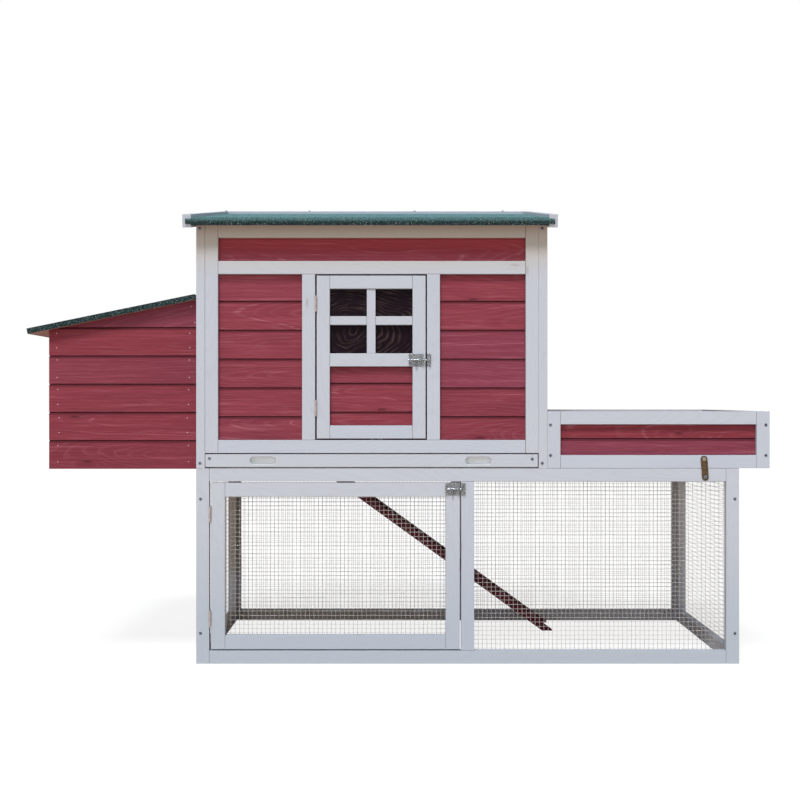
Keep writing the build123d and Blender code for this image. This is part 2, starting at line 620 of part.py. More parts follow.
# Two flat hooks are screwed to the board and hang on a rod across the hole in the floor.
with BuildPart() as ramp_hooks:
    for spread in (-RAMP_HOOK["spread"], RAMP_HOOK["spread"]):
        hook_y = RAMP_CENTRE_Y + spread - RAMP_HOOK["width"] / 2
        hook_plane = Plane(
            origin=(RAMP_PIVOT.X, hook_y, RAMP_PIVOT.Z),
            x_dir=RAMP_DIRECTION,
            z_dir=(0, -1, 0),
        )
        with BuildSketch(hook_plane) as hook_section:
            Circle(RAMP_ROD_BORE + RAMP_HOOK["eye_wall"])
            with Locations((RAMP_HOOK["length"] / 2, -RAMP_HOOK["thickness"] / 2)):
                Rectangle(RAMP_HOOK["length"], RAMP_HOOK["thickness"])
            Circle(RAMP_ROD_BORE, mode=Mode.SUBTRACT)
        extrude(hook_section.sketch, amount=-RAMP_HOOK["width"])
save(ramp_hooks, "ramp_hooks")

ROD_Y = (RAMP_HOLE_Y[0] - RAMP_ROD_OVERRUN, RAMP_HOLE_Y[1] + RAMP_ROD_OVERRUN)

with BuildPart() as ramp_rod:
    with BuildSketch(Plane(origin=(RAMP_PIVOT.X, ROD_Y[0], RAMP_PIVOT.Z), x_dir=(1, 0, 0), z_dir=(0, 1, 0))):
        Circle(RAMP_ROD_RADIUS)
    extrude(amount=ROD_Y[1] - ROD_Y[0])
save(ramp_rod, "ramp_rod")

# A bored block under the floor holds each end of the rod.
with BuildPart() as ramp_rod_blocks:
    block_x = (RAMP_PIVOT.X - ROD_BLOCK["half_length"], RAMP_PIVOT.X + ROD_BLOCK["half_length"])
    block_z = (RUN_TOP - ROD_BLOCK["height"], RUN_TOP)
    for near in (ROD_Y[0], ROD_Y[1] - ROD_BLOCK["depth"]):
        stick(block_x, (near, near + ROD_BLOCK["depth"]), block_z)
    with BuildSketch(Plane(origin=(RAMP_PIVOT.X, ROD_Y[0], RAMP_PIVOT.Z), x_dir=(1, 0, 0), z_dir=(0, 1, 0))):
        Circle(RAMP_ROD_RADIUS)
    extrude(amount=ROD_Y[1] - ROD_Y[0], mode=Mode.SUBTRACT)
save(ramp_rod_blocks, "ramp_rod_blocks")

# ---------------------------------------------------------------- nest box

NEST_X = (NEST_LEFT, HOUSE_LEFT)
NEST_INNER_LEFT = NEST_LEFT + BOARD_THICKNESS
NEST_INNER_Y = (SIDE_Y[0] + BOARD_THICKNESS, SIDE_Y[1] - BOARD_THICKNESS)


def under_nest_lid(y):
    """Keep only what lies below the nest lid, in the span y."""
    high, low = nest_wall_top(HOUSE_LEFT), nest_wall_top(NEST_LEFT)
    bottom_corners = [(NEST_LEFT, NEST_BOTTOM), (HOUSE_LEFT, NEST_BOTTOM)]
    top_corners = [(HOUSE_LEFT, high), (NEST_LEFT, low)]
    with BuildSketch(Plane.XZ.offset(-y[1])) as outline:
        with BuildLine():
            Polyline(*bottom_corners, *top_corners, close=True)
        make_face()
    extrude(outline.sketch, amount=y[1] - y[0], mode=Mode.INTERSECT)


with BuildPart() as nest_walls:
    wall_z = (NEST_BOTTOM, NEST_TOP_AT_HOUSE)
    wall_length = HOUSE_LEFT - NEST_LEFT
    lap_wall((NEST_LEFT, SIDE_Y[0]), INTO_FRONT, wall_length, wall_z, NEST_FIRST_LINE, NEST_BOARD_PITCH)
    lap_wall((HOUSE_LEFT, SIDE_Y[1]), INTO_BACK, wall_length, wall_z, NEST_FIRST_LINE, NEST_BOARD_PITCH)
    end_start = (NEST_LEFT, NEST_INNER_Y[1] - JOINT_GAP)
    end_length = NEST_INNER_Y[1] - NEST_INNER_Y[0] - 2 * JOINT_GAP
    end_z = (NEST_BOTTOM, nest_wall_top(NEST_LEFT))
    lap_wall(end_start, INTO_LEFT, end_length, end_z, NEST_FIRST_LINE, NEST_BOARD_PITCH)
    under_nest_lid(SIDE_Y)
save(nest_walls, "nest_walls")

with BuildPart() as nest_battens:
    batten_bottom = NEST_BOTTOM + BOARD_THICKNESS
    for near in (NEST_INNER_Y[0], NEST_INNER_Y[1] - NEST_BATTEN):
        for left in (NEST_INNER_LEFT, HOUSE_LEFT - NEST_BATTEN):
            batten_z = (batten_bottom, nest_wall_top(left) - FRONT_CLEARANCE)
            stick((left, left + NEST_BATTEN), (near, near + NEST_BATTEN), batten_z)
save(nest_battens, "nest_battens")

with BuildPart() as nest_floor:
    stick((NEST_INNER_LEFT, HOUSE_LEFT), NEST_INNER_Y, (NEST_BOTTOM, NEST_BOTTOM + BOARD_THICKNESS))
save(nest_floor, "nest_floor")

# It parts the box into two nests and stops short of the lid.
with BuildPart() as nest_divider:
    divider_y = (NEST_POST_CENTRE - BOARD_THICKNESS / 2, NEST_POST_CENTRE + BOARD_THICKNESS / 2)
    divider_z = (NEST_BOTTOM + BOARD_THICKNESS, NEST_HOLE_TOP - STOCK_WIDTH)
    stick((NEST_INNER_LEFT, HOUSE_LEFT), divider_y, divider_z)
save(nest_divider, "nest_divider")

LID_Y = (FRONT, BACK)
LID_THICKNESS = LID_BOARD_THICKNESS + FELT_THICKNESS
lid_rise = (LID_THICKNESS + LID_AXIS_RISE + JOINT_GAP) / math.cos(NEST_LID_SLOPE)
LID_AXIS_Z = nest_wall_top(LID_AXIS_X) + lid_rise
lid_out = Vector(-math.cos(NEST_LID_SLOPE), 0, -math.sin(NEST_LID_SLOPE))
lid_up = Vector(-math.sin(NEST_LID_SLOPE), 0, math.cos(NEST_LID_SLOPE))
LID_LENGTH = (LID_AXIS_X - NEST_LID_OUTER) / math.cos(NEST_LID_SLOPE)


def lid_plate(reach, y, height):
    """Add a plate that lies along the nest lid. reach and height are measured from the hinge axis."""
    plane = Plane(origin=(LID_AXIS_X, y[1], LID_AXIS_Z), x_dir=lid_out, z_dir=(0, -1, 0))
    with BuildSketch(plane) as outline:
        with Locations((middle(reach), -middle(height))):
            Rectangle(reach[1] - reach[0], height[1] - height[0])
    extrude(outline.sketch, amount=y[1] - y[0])


def lid_cylinder(radius, y, mode=Mode.ADD):
    """Add a round along the hinge axis of the nest lid, or take one away."""
    across_axis = Plane(origin=(LID_AXIS_X, y[0], LID_AXIS_Z), x_dir=(1, 0, 0), z_dir=(0, 1, 0))
    with BuildSketch(across_axis) as round_end:
        Circle(radius)
    extrude(round_end.sketch, amount=y[1] - y[0], mode=mode)


LID_FELT_HEIGHT = (-LID_AXIS_RISE - FELT_THICKNESS, -LID_AXIS_RISE)
LID_BOARD_HEIGHT = (LID_FELT_HEIGHT[0] - LID_BOARD_THICKNESS, LID_FELT_HEIGHT[0])
LID_INNER_Y = (LID_Y[0] + FELT_THICKNESS, LID_Y[1] - FELT_THICKNESS)

with BuildPart() as nest_lid_board:
    lid_plate((LID_EDGE_SETBACK, LID_LENGTH - FELT_THICKNESS), LID_INNER_Y, LID_BOARD_HEIGHT)
save(nest_lid_board, "nest_lid_board")

# Roofing felt covers the lid and is folded down over its three free edges.
with BuildPart() as nest_lid_felt:
    lid_plate((LID_EDGE_SETBACK, LID_LENGTH), LID_Y, LID_FELT_HEIGHT)
    lid_plate((LID_LENGTH - FELT_THICKNESS, LID_LENGTH), LID_Y, LID_BOARD_HEIGHT)
    for fold_y in ((LID_Y[0], LID_INNER_Y[0]), (LID_INNER_Y[1], LID_Y[1])):
        lid_plate((LID_EDGE_SETBACK, LID_LENGTH), fold_y, LID_BOARD_HEIGHT)
save(nest_lid_felt, "nest_lid_felt")


def knuckle_span(centre, length, row):
    """The span of one of a hinge's three knuckles, counted 0, 1, 2 from the low end."""
    third = length / 3
    low = centre - length / 2 + row * third
    return (low + JOINT_GAP / 2, low + third - JOINT_GAP / 2)


with BuildPart() as nest_lid_hinge_leaves:
    for hinge_y in LID_HINGES_Y:
        whole = (hinge_y - LID_HINGE_WIDTH / 2, hinge_y + LID_HINGE_WIDTH / 2)
        own = knuckle_span(hinge_y, LID_HINGE_WIDTH, 1)
        leaf_height = (-LID_AXIS_RISE, -LID_AXIS_RISE + LEAF_THICKNESS)
        lid_plate((LID_KNUCKLE_RADIUS + 1, LID_LEAF_REACH), whole, leaf_height)
        lid_plate((0, LID_KNUCKLE_RADIUS + 1), own, leaf_height)
        lid_cylinder(LID_KNUCKLE_RADIUS, own)
        lid_cylinder(PIN_BORE, whole, Mode.SUBTRACT)
save(nest_lid_hinge_leaves, "nest_lid_hinge_leaves")

# ---------------------------------------------------------------- roof

ROOF_RUN = (FRONT - ROOF_OVERHANG, BACK + ROOF_BACK_OVERHANG)
ROOF_V = ((ROOF_RUN[0] - FRONT) / math.cos(ROOF_SLOPE), (ROOF_RUN[1] - FRONT) / math.cos(ROOF_SLOPE))
PANEL_X = (TRIM_X[0] + TRIM_WIDTH, TRIM_X[1] - TRIM_WIDTH)
PANEL_V = (ROOF_V[0] + FELT_THICKNESS, ROOF_V[1] - TRIM_WIDTH)
FELT_TOP = ROOF_PANEL_THICKNESS + FELT_THICKNESS
TRIM_W = (TRIM_ABOVE - TRIM_HEIGHT, TRIM_ABOVE)
END_TRIM_V = (PANEL_V[0] + JOINT_GAP, PANEL_V[1] - JOINT_GAP)
roof_normal = Vector(0, -math.sin(ROOF_SLOPE), math.cos(ROOF_SLOPE))


def roof_plate(x, v, w):
    """Add a plate in the roof's own slope: v runs up the slope and w stands up from its underside."""
    base = Plane(origin=(0, FRONT, HOUSE_EAVE), x_dir=(1, 0, 0), z_dir=roof_normal).offset(w[0])
    with BuildSketch(base) as outline:
        with Locations((middle(x), middle(v))):
            Rectangle(x[1] - x[0], v[1] - v[0])
    extrude(outline.sketch, amount=w[1] - w[0])


with BuildPart() as roof_panel:
    roof_plate(PANEL_X, PANEL_V, (0, ROOF_PANEL_THICKNESS))
save(roof_panel, "roof_panel")

# The felt lies on the panel and is folded down over its front edge. A tab at each end of the
# fold laps over the end of the trim.
with BuildPart() as roof_felt:
    fold_v = (ROOF_V[0], PANEL_V[0])
    tabs_x = (TRIM_X[0] + FELT_TAB_INSET, TRIM_X[1] - FELT_TAB_INSET)
    roof_plate(PANEL_X, (ROOF_V[0], PANEL_V[1]), (ROOF_PANEL_THICKNESS, FELT_TOP))
    roof_plate(PANEL_X, fold_v, (-FELT_DROP, ROOF_PANEL_THICKNESS))
    roof_plate(tabs_x, fold_v, (0, ROOF_PANEL_THICKNESS))
save(roof_felt, "roof_felt")

with BuildPart() as roof_trim:
    for trim_x in ((TRIM_X[0], PANEL_X[0]), (PANEL_X[1], TRIM_X[1])):
        roof_plate(trim_x, END_TRIM_V, TRIM_W)
    roof_plate(TRIM_X, (PANEL_V[1], ROOF_V[1]), TRIM_W)
save(roof_trim, "roof_trim")

with BuildPart() as roof_battens:
    batten_back = (BACK_INSIDE - FRONT) / math.cos(ROOF_SLOPE) - BATTEN_END_GAP
    batten_v = (STOCK_THICKNESS + BATTEN_END_GAP, batten_back)
    for batten_x in BATTENS_X:
        roof_plate((batten_x - STOCK_WIDTH / 2, batten_x + STOCK_WIDTH / 2), batten_v, (-STOCK_THICKNESS, 0))
save(roof_battens, "roof_battens")

# ---------------------------------------------------------------- planter

PLANTER_X = (PLANTER_LEFT, PLANTER_RIGHT)
PLANTER_Z = (PLANTER_BOTTOM, PLANTER_TOP)
PLANTER_ENDS_X = (
    (PLANTER_LEFT, PLANTER_LEFT + STOCK_THICKNESS),
    (PLANTER_RIGHT - STOCK_THICKNESS, PLANTER_RIGHT),
)
PLANTER_INFILL_Z = (PLANTER_BOTTOM + STOCK_WIDTH + JOINT_GAP, PLANTER_TOP - STOCK_WIDTH - JOINT_GAP)

with BuildPart() as planter_frame:
    frame_sticks(PLANTER_X, FRONT_Y, PLANTER_Z)
    frame_sticks(PLANTER_X, BACK_Y, PLANTER_Z)
    for end_x in PLANTER_ENDS_X:
        side_sticks(end_x, (SIDE_Y[0] + JOINT_GAP, SIDE_Y[1] - JOINT_GAP), PLANTER_Z)
save(planter_frame, "planter_frame")

with BuildPart() as planter_siding:
    infill_x = (PLANTER_LEFT + STOCK_WIDTH + JOINT_GAP, PLANTER_RIGHT - STOCK_WIDTH - JOINT_GAP)
    infill_length = infill_x[1] - infill_x[0]
    infill_y = (SIDE_BOARD_Y[0] + JOINT_GAP, SIDE_BOARD_Y[1] - JOINT_GAP)
    end_length = infill_y[1] - infill_y[0]
    for corner, inward, length in (
        ((infill_x[0], FRONT + BOARD_RECESS), INTO_FRONT, infill_length),
        ((infill_x[1], BACK - BOARD_RECESS), INTO_BACK, infill_length),
        ((PLANTER_LEFT + BOARD_RECESS, infill_y[1]), INTO_LEFT, end_length),
        ((PLANTER_RIGHT - BOARD_RECESS, infill_y[0]), INTO_RIGHT, end_length),
    ):
        lap_wall(corner, inward, length, PLANTER_INFILL_Z, PLANTER_LINE, HOUSE_BOARD_PITCH)
save(planter_siding, "planter_siding")

# The slats lie close together and drain through holes.
with BuildPart() as planter_floor:
    slat_pitch = (SIDE_Y[1] - SIDE_Y[0]) / PLANTER_SLATS
    slat_x = (PLANTER_ENDS_X[0][1] + JOINT_GAP, PLANTER_ENDS_X[1][0] - JOINT_GAP)
    slat_z = (PLANTER_BOTTOM, PLANTER_BOTTOM + BOARD_THICKNESS)
    for number in range(PLANTER_SLATS):
        slat_front = SIDE_Y[0] + number * slat_pitch
        stick(slat_x, (slat_front + JOINT_GAP, slat_front + slat_pitch - JOINT_GAP), slat_z)
    with BuildSketch(Plane.XY.offset(slat_z[1])):
        with Locations((middle(slat_x), middle(SIDE_Y))):
            with GridLocations(DRAIN_PITCH, slat_pitch, 4, PLANTER_SLATS):
                Circle(DRAIN_RADIUS)
    extrude(amount=-BOARD_THICKNESS, mode=Mode.SUBTRACT)
save(planter_floor, "planter_floor")

# ---------------------------------------------------------------- house door

DOOR_X, DOOR_Z = HOUSE_DOOR["x"], HOUSE_DOOR["z"]
DOOR_INNER_X = (DOOR_X[0] + STOCK_WIDTH + JOINT_GAP, DOOR_X[1] - STOCK_WIDTH - JOINT_GAP)
DOOR_BOTTOM_RAIL_TOP = DOOR_Z[0] + STOCK_WIDTH
WINDOW_Z = (LOCK_RAIL[1] + JOINT_GAP, DOOR_Z[1] - STOCK_WIDTH - JOINT_GAP)
MUNTIN_Y = (FRONT + MUNTIN_RECESS, FRONT + MUNTIN_RECESS + MUNTIN_THICKNESS)

# Thin glazing bars part the window into four panes.
with BuildPart() as house_door_frame:
    frame_sticks(DOOR_X, FRONT_Y, DOOR_Z)
    stick(DOOR_INNER_X, FRONT_Y, LOCK_RAIL)
    upright_x = (middle(DOOR_X) - MUNTIN_WIDTH / 2, middle(DOOR_X) + MUNTIN_WIDTH / 2)
    cross_z = (MUNTIN_CENTRE_Z - MUNTIN_WIDTH / 2, MUNTIN_CENTRE_Z + MUNTIN_WIDTH / 2)
    stick(upright_x, MUNTIN_Y, WINDOW_Z)
    stick((DOOR_INNER_X[0], upright_x[0] - JOINT_GAP), MUNTIN_Y, cross_z)
    stick((upright_x[1] + JOINT_GAP, DOOR_INNER_X[1]), MUNTIN_Y, cross_z)
save(house_door_frame, "house_door_frame")

with BuildPart() as window_pane:
    stick(DOOR_INNER_X, (MUNTIN_Y[1], MUNTIN_Y[1] + PANE_THICKNESS), WINDOW_Z)
save(window_pane, "window_pane")

with BuildPart() as house_door_infill:
    infill_z = (DOOR_BOTTOM_RAIL_TOP + JOINT_GAP, LOCK_RAIL[0] - JOINT_GAP)
    start = (DOOR_INNER_X[0], FRONT + BOARD_RECESS)
    length = DOOR_INNER_X[1] - DOOR_INNER_X[0]
    lap_wall(start, INTO_FRONT, length, infill_z, DOOR_INFILL_LINE, HOUSE_BOARD_PITCH)
save(house_door_infill, "house_door_infill")

# ---------------------------------------------------------------- door hinges

BARREL_Y = FRONT - BARREL_STANDOFF


def vertical_round(radius, x, z, mode=Mode.ADD):
    """Add a round along a door's hinge axis, or take one away."""
    with BuildSketch(Plane.XY.offset(z[0])) as round_end:
        with Locations((x, BARREL_Y)):
            Circle(radius)
    extrude(round_end.sketch, amount=z[1] - z[0], mode=mode)


def hinge_leaf(hinge, on_door, height):
    """Add one leaf of a butt hinge, with its own share of the three knuckles."""
    axis_x = (hinge["post"] + hinge["door"]) / 2
    if on_door:
        plate_x = (hinge["door"] - LEAF_THICKNESS, hinge["door"])
        rows = [1]
    else:
        plate_x = (hinge["post"], hinge["post"] + LEAF_THICKNESS)
        rows = [0, 2]
    whole = (height - HINGE_HEIGHT / 2, height + HINGE_HEIGHT / 2)
    stick(plate_x, (FRONT + LEAF_SETBACK, FRONT + LEAF_DEPTH), whole)
    for row in rows:
        own = knuckle_span(height, HINGE_HEIGHT, row)
        stick(plate_x, (BARREL_Y, FRONT + LEAF_SETBACK), own)
        vertical_round(KNUCKLE_RADIUS, axis_x, own)
    vertical_round(PIN_BORE, axis_x, whole, Mode.SUBTRACT)


with BuildPart() as house_door_hinge_leaves:
    for height in HOUSE_HINGE["heights"]:
        hinge_leaf(HOUSE_HINGE, True, height)
save(house_door_hinge_leaves, "house_door_hinge_leaves")

with BuildPart() as run_door_hinge_leaves:
    for height in RUN_HINGE["heights"]:
        hinge_leaf(RUN_HINGE, True, height)
save(run_door_hinge_leaves, "run_door_hinge_leaves")

with BuildPart() as fixed_hinge_leaves:
    for hinge in (HOUSE_HINGE, RUN_HINGE):
        for height in hinge["heights"]:
            hinge_leaf(hinge, False, height)
    for hinge_y in LID_HINGES_Y:
        whole = (hinge_y - LID_HINGE_WIDTH / 2, hinge_y + LID_HINGE_WIDTH / 2)
        wall_plate_x = (HOUSE_LEFT - LEAF_THICKNESS, HOUSE_LEFT)
        stick(wall_plate_x, whole, (LID_AXIS_Z, LID_AXIS_Z + LID_WALL_LEAF_HEIGHT))
        for row in (0, 2):
            own = knuckle_span(hinge_y, LID_HINGE_WIDTH, row)
            tab_z = (LID_AXIS_Z + PIN_BORE, LID_AXIS_Z + LID_KNUCKLE_RADIUS)
            stick((LID_AXIS_X, wall_plate_x[0]), own, tab_z)
            lid_cylinder(LID_KNUCKLE_RADIUS, own)
        lid_cylinder(PIN_BORE, whole, Mode.SUBTRACT)
save(fixed_hinge_leaves, "fixed_hinge_leaves")

with BuildPart() as hinge_pins:
    for hinge in (HOUSE_HINGE, RUN_HINGE):
        for height in hinge["heights"]:
            pin_z = (height - HINGE_HEIGHT / 2, height + HINGE_HEIGHT / 2)
            vertical_round(PIN_RADIUS, (hinge["post"] + hinge["door"]) / 2, pin_z)
    for hinge_y in LID_HINGES_Y:
        lid_cylinder(PIN_RADIUS, (hinge_y - LID_HINGE_WIDTH / 2, hinge_y + LID_HINGE_WIDTH / 2))
save(hinge_pins, "hinge_pins")

# ---------------------------------------------------------------- barrel bolts

ROD_Y_CENTRE = FRONT - BOLT_PLATE_THICKNESS - ROD_STANDOFF
PLATE_Y = (FRONT - BOLT_PLATE_THICKNESS, FRONT)
STAPLE_INSET = 0.5


def sideways_round(radius, x, z, mode=Mode.ADD):
    """Add a round along a bolt's rod, or take one away."""
    with BuildSketch(Plane(origin=(x[0], ROD_Y_CENTRE, z), x_dir=(0, 1, 0), z_dir=(1, 0, 0))) as round_end:
        Circle(radius)
    extrude(round_end.sketch, amount=x[1] - x[0], mode=mode)


def bolt_staples(plate_x, plate_z, staple_starts):
    """Add a screwed-on plate with bored staples that a bolt's rod slides through."""
    rod_z = middle(plate_z)
    stick(plate_x, PLATE_Y, plate_z)
    for left in staple_starts:
        staple_z = (rod_z - STAPLE_HEIGHT / 2, rod_z + STAPLE_HEIGHT / 2)
        stick((left, left + STAPLE_WIDTH), (PLATE_Y[0] - STAPLE_DEPTH, PLATE_Y[0]), staple_z)
    sideways_round(BOLT_BORE, plate_x, rod_z, Mode.SUBTRACT)


def bolt_rod(bolt):
    """Add a bolt's rod, which ends just short of its keeper, and the knob that hangs from it."""
    rod_z = middle(bolt["z"])
    knob_x = middle(bolt["plate"])
    sideways_round(BOLT_ROD_RADIUS, (bolt["plate"][0] - 1, bolt["keeper"][0] + 0.2), rod_z)
    with BuildSketch(Plane.XY.offset(rod_z - KNOB_LENGTH)) as knob_section:
        with Locations((knob_x, ROD_Y_CENTRE)):
            Circle(KNOB_RADIUS)
    extrude(knob_section.sketch, amount=KNOB_LENGTH)


for bolt, name in ((HOUSE_BOLT, "house_bolt"), (RUN_BOLT, "run_bolt")):
    with BuildPart() as bolt_plate:
        plate_x = bolt["plate"]
        staples_x = (plate_x[0] + STAPLE_INSET, plate_x[1] - STAPLE_WIDTH - STAPLE_INSET)
        bolt_staples(plate_x, bolt["z"], staples_x)
    save(bolt_plate, f"{name}_plate")
    with BuildPart() as rod:
        bolt_rod(bolt)
    save(rod, f"{name}_rod")

with BuildPart() as bolt_keepers:
    for bolt in (HOUSE_BOLT, RUN_BOLT):
        left = middle(bolt["keeper"]) - STAPLE_WIDTH / 2
        bolt_staples(bolt["keeper"], bolt["z"], (left,))
save(bolt_keepers, "bolt_keepers")

# ---------------------------------------------------------------- planter catch

# A flat bar swings on its lower screw. Its upper end stands over the planter's bottom rail.
with BuildPart() as planter_catch:
    lean = math.radians(90 + CATCH_TILT)
    catch_plane = Plane(
        origin=(CATCH_PIVOT[0], CATCH_Y[1], CATCH_PIVOT[1]),
        x_dir=(math.cos(lean), 0, math.sin(lean)),
        z_dir=(0, -1, 0),
    )
    with BuildSketch(catch_plane):
        with Locations((CATCH_REACH / 2, 0)):
            SlotCenterToCenter(CATCH_REACH, 2 * CATCH_RADIUS)
        Circle(CATCH_SCREW["radius"] + CATCH_SCREW["clearance"], mode=Mode.SUBTRACT)
    extrude(amount=CATCH_Y[1] - CATCH_Y[0])
    with BuildSketch(catch_plane.offset(CATCH_Y[1] - CATCH_Y[0])):
        with Locations((CATCH_REACH, 0)):
            Circle(CATCH_STUD["radius"])
    extrude(amount=CATCH_STUD["height"])
    fillet(edges().filter_by(GeomType.CIRCLE).sort_by(Axis.Y)[0], CATCH_STUD["rounding"])
save(planter_catch, "planter_catch")

# ---------------------------------------------------------------- screws


def screw_heads(places):
    """Add low round screw heads at (x, z) places on the front."""
    with BuildSketch(Plane(origin=(0, FRONT, 0), x_dir=(1, 0, 0), z_dir=(0, -1, 0))) as heads:
        with Locations(*places):
            Circle(SCREW_HEAD_RADIUS)
    extrude(heads.sketch, amount=SCREW_HEAD_RISE)


with BuildPart() as tray_screws:
    screw_heads(TRAY_SCREWS)
    fillet(faces().filter_by(GeomType.PLANE).group_by(Axis.Y)[0].edges(), SCREW_ROUNDING)
save(tray_screws, "tray_screws")

# The frame's screws, the four in the roof's back trim, and the one that the catch swings on.
with BuildPart() as frame_screws:
    reach = ROOF_SCREW["width"] / 2
    trim_middle = (PANEL_V[1] + ROOF_V[1]) / 2
    for screw_x in ROOF_SCREWS_X:
        screw_w = (TRIM_ABOVE, TRIM_ABOVE + ROOF_SCREW["height"])
        roof_plate((screw_x - reach, screw_x + reach), (trim_middle - reach, trim_middle + reach), screw_w)
    fillet(edges().filter_by(lambda edge: edge.length < reach), ROOF_SCREW["rounding"])
    screw_plane = Plane(origin=(CATCH_PIVOT[0], FRONT, CATCH_PIVOT[1]), x_dir=(1, 0, 0), z_dir=(0, -1, 0))
    shank_length = FRONT - CATCH_Y[0] + CATCH_SCREW["head_gap"]
    with BuildSketch(screw_plane):
        Circle(CATCH_SCREW["radius"])
    extrude(amount=shank_length)
    with BuildSketch(screw_plane.offset(shank_length)):
        Circle(CATCH_SCREW_HEAD["radius"])
    extrude(amount=CATCH_SCREW_HEAD["height"])
    fillet(edges().filter_by(GeomType.CIRCLE).sort_by(Axis.Y)[0], CATCH_SCREW_HEAD["rounding"])
    screw_heads(HOUSE_SCREWS + RUN_SCREWS + PLANTER_SCREWS)
    head_rims = edges().filter_by(GeomType.CIRCLE).filter_by(lambda edge: edge.radius == SCREW_HEAD_RADIUS)
    fillet(head_rims.filter_by(lambda edge: edge.center().Y < FRONT - SCREW_HEAD_RISE / 2), SCREW_ROUNDING)
save(frame_screws, "frame_screws")
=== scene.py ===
"""The look of the chicken coop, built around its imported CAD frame. Sizes are in metres."""

import json
import math
import random

import bmesh
import bpy
from mathutils import Euler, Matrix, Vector


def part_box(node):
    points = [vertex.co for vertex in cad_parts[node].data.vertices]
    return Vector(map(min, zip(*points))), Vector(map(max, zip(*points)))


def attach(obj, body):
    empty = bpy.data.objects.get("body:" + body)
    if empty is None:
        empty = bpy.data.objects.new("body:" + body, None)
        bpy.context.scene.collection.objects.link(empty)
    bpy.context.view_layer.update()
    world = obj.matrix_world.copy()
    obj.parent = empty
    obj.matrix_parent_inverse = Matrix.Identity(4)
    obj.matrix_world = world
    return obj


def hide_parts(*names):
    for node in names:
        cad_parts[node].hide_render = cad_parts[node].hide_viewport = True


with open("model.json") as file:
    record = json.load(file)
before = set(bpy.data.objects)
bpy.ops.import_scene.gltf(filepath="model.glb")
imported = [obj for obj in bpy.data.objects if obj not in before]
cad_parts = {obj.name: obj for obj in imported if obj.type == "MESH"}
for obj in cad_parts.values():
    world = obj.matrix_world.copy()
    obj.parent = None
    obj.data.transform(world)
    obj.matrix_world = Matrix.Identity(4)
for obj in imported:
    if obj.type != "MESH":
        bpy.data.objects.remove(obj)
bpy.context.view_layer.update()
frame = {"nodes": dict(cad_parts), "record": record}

NODES = frame["nodes"]
RECORD = frame["record"]
BODY_OF = {node: body for body, nodes in RECORD["behaviour"]["bodies"].items() for node in nodes}
SLOT_OF = {part["node"]: part["material_slot"] for part in RECORD["subparts"]}

MM = 0.001
MERGE_DISTANCE = 1e-6
FLAT_ANGLE = math.radians(1)
CORNER_ANGLE = math.radians(25)
HEAD_TURN = math.radians(17)
HEAD_TURNS = 5
SQUARE_ENOUGH = 0.05
GRAIN_SHIFT = 9
LAP_DEPTH = 8 * MM
NO_LAP = 1.0
WOOD_SEED = 0
BOARD_EASING = 0.45 * MM
STICK_EASING = 0.9 * MM

# ---------------------------------------------------------------- meshes


def new_piece(name, mesh, node, material):
    """Links a mesh as a piece of the object, in the place of a CAD node and on that node's body."""
    piece = bpy.data.objects.new(name, mesh)
    bpy.context.scene.collection.objects.link(piece)
    mesh.materials.clear()
    mesh.materials.append(material)
    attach(piece, BODY_OF[node])
    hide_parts(node)
    return piece


def islands(bm):
    """The connected groups of vertices of a mesh, in a steady order."""
    seen = set()
    groups = []
    for start in bm.verts:
        if start in seen:
            continue
        seen.add(start)
        group, front = [], [start]
        while front:
            vert = front.pop()
            group.append(vert)
            for edge in vert.link_edges:
                other = edge.other_vert(vert)
                if other not in seen:
                    seen.add(other)
                    front.append(other)
        groups.append(group)
    return groups


def extents(group):
    """The lowest and highest corners of a group of vertices."""
    low = Vector([min(vert.co[axis] for vert in group) for axis in range(3)])
    high = Vector([max(vert.co[axis] for vert in group) for axis in range(3)])
    return low, high


def own_axes(group):
    """A solid's long, wide and thin directions, from its largest flat faces."""
    around = {face.index: face for vert in group for face in vert.link_faces}
    faces = sorted(around.values(), key=lambda f: (-round(f.calc_area(), 9), f.index))
    first = faces[0].normal.copy()
    second = next(f.normal.copy() for f in faces if abs(f.normal.dot(first)) < SQUARE_ENOUGH)
    second = (second - first * second.dot(first)).normalized()
    axes = []
    for axis in (first, second, first.cross(second)):
        reach = [axis.dot(vert.co) for vert in group]
        axes.append((max(reach) - min(reach), axis, (max(reach) + min(reach)) / 2))
    axes.sort(key=lambda entry: -entry[0])
    return axes


def copied(node):
    """The node's mesh as a bmesh of clean flat faces."""
    bm = bmesh.new()
    bm.from_mesh(NODES[node].data)
    bmesh.ops.remove_doubles(bm, verts=bm.verts, dist=MERGE_DISTANCE)
    bmesh.ops.dissolve_limit(bm, angle_limit=FLAT_ANGLE, verts=bm.verts, edges=bm.edges)
    bm.verts.ensure_lookup_table()
    bm.faces.ensure_lookup_table()
    bm.normal_update()
    return bm


def round_edges(bm, easing):
    """Eases every sharp edge."""
    sharp = [e for e in bm.edges if len(e.link_faces) == 2 and e.calc_face_angle(0) > CORNER_ANGLE]
    bmesh.ops.bevel(
        bm,
        geom=sharp,
        offset=easing,
        segments=2,
        profile=0.6,
        affect="EDGES",
        clamp_overlap=True,
        harden_normals=False,
    )


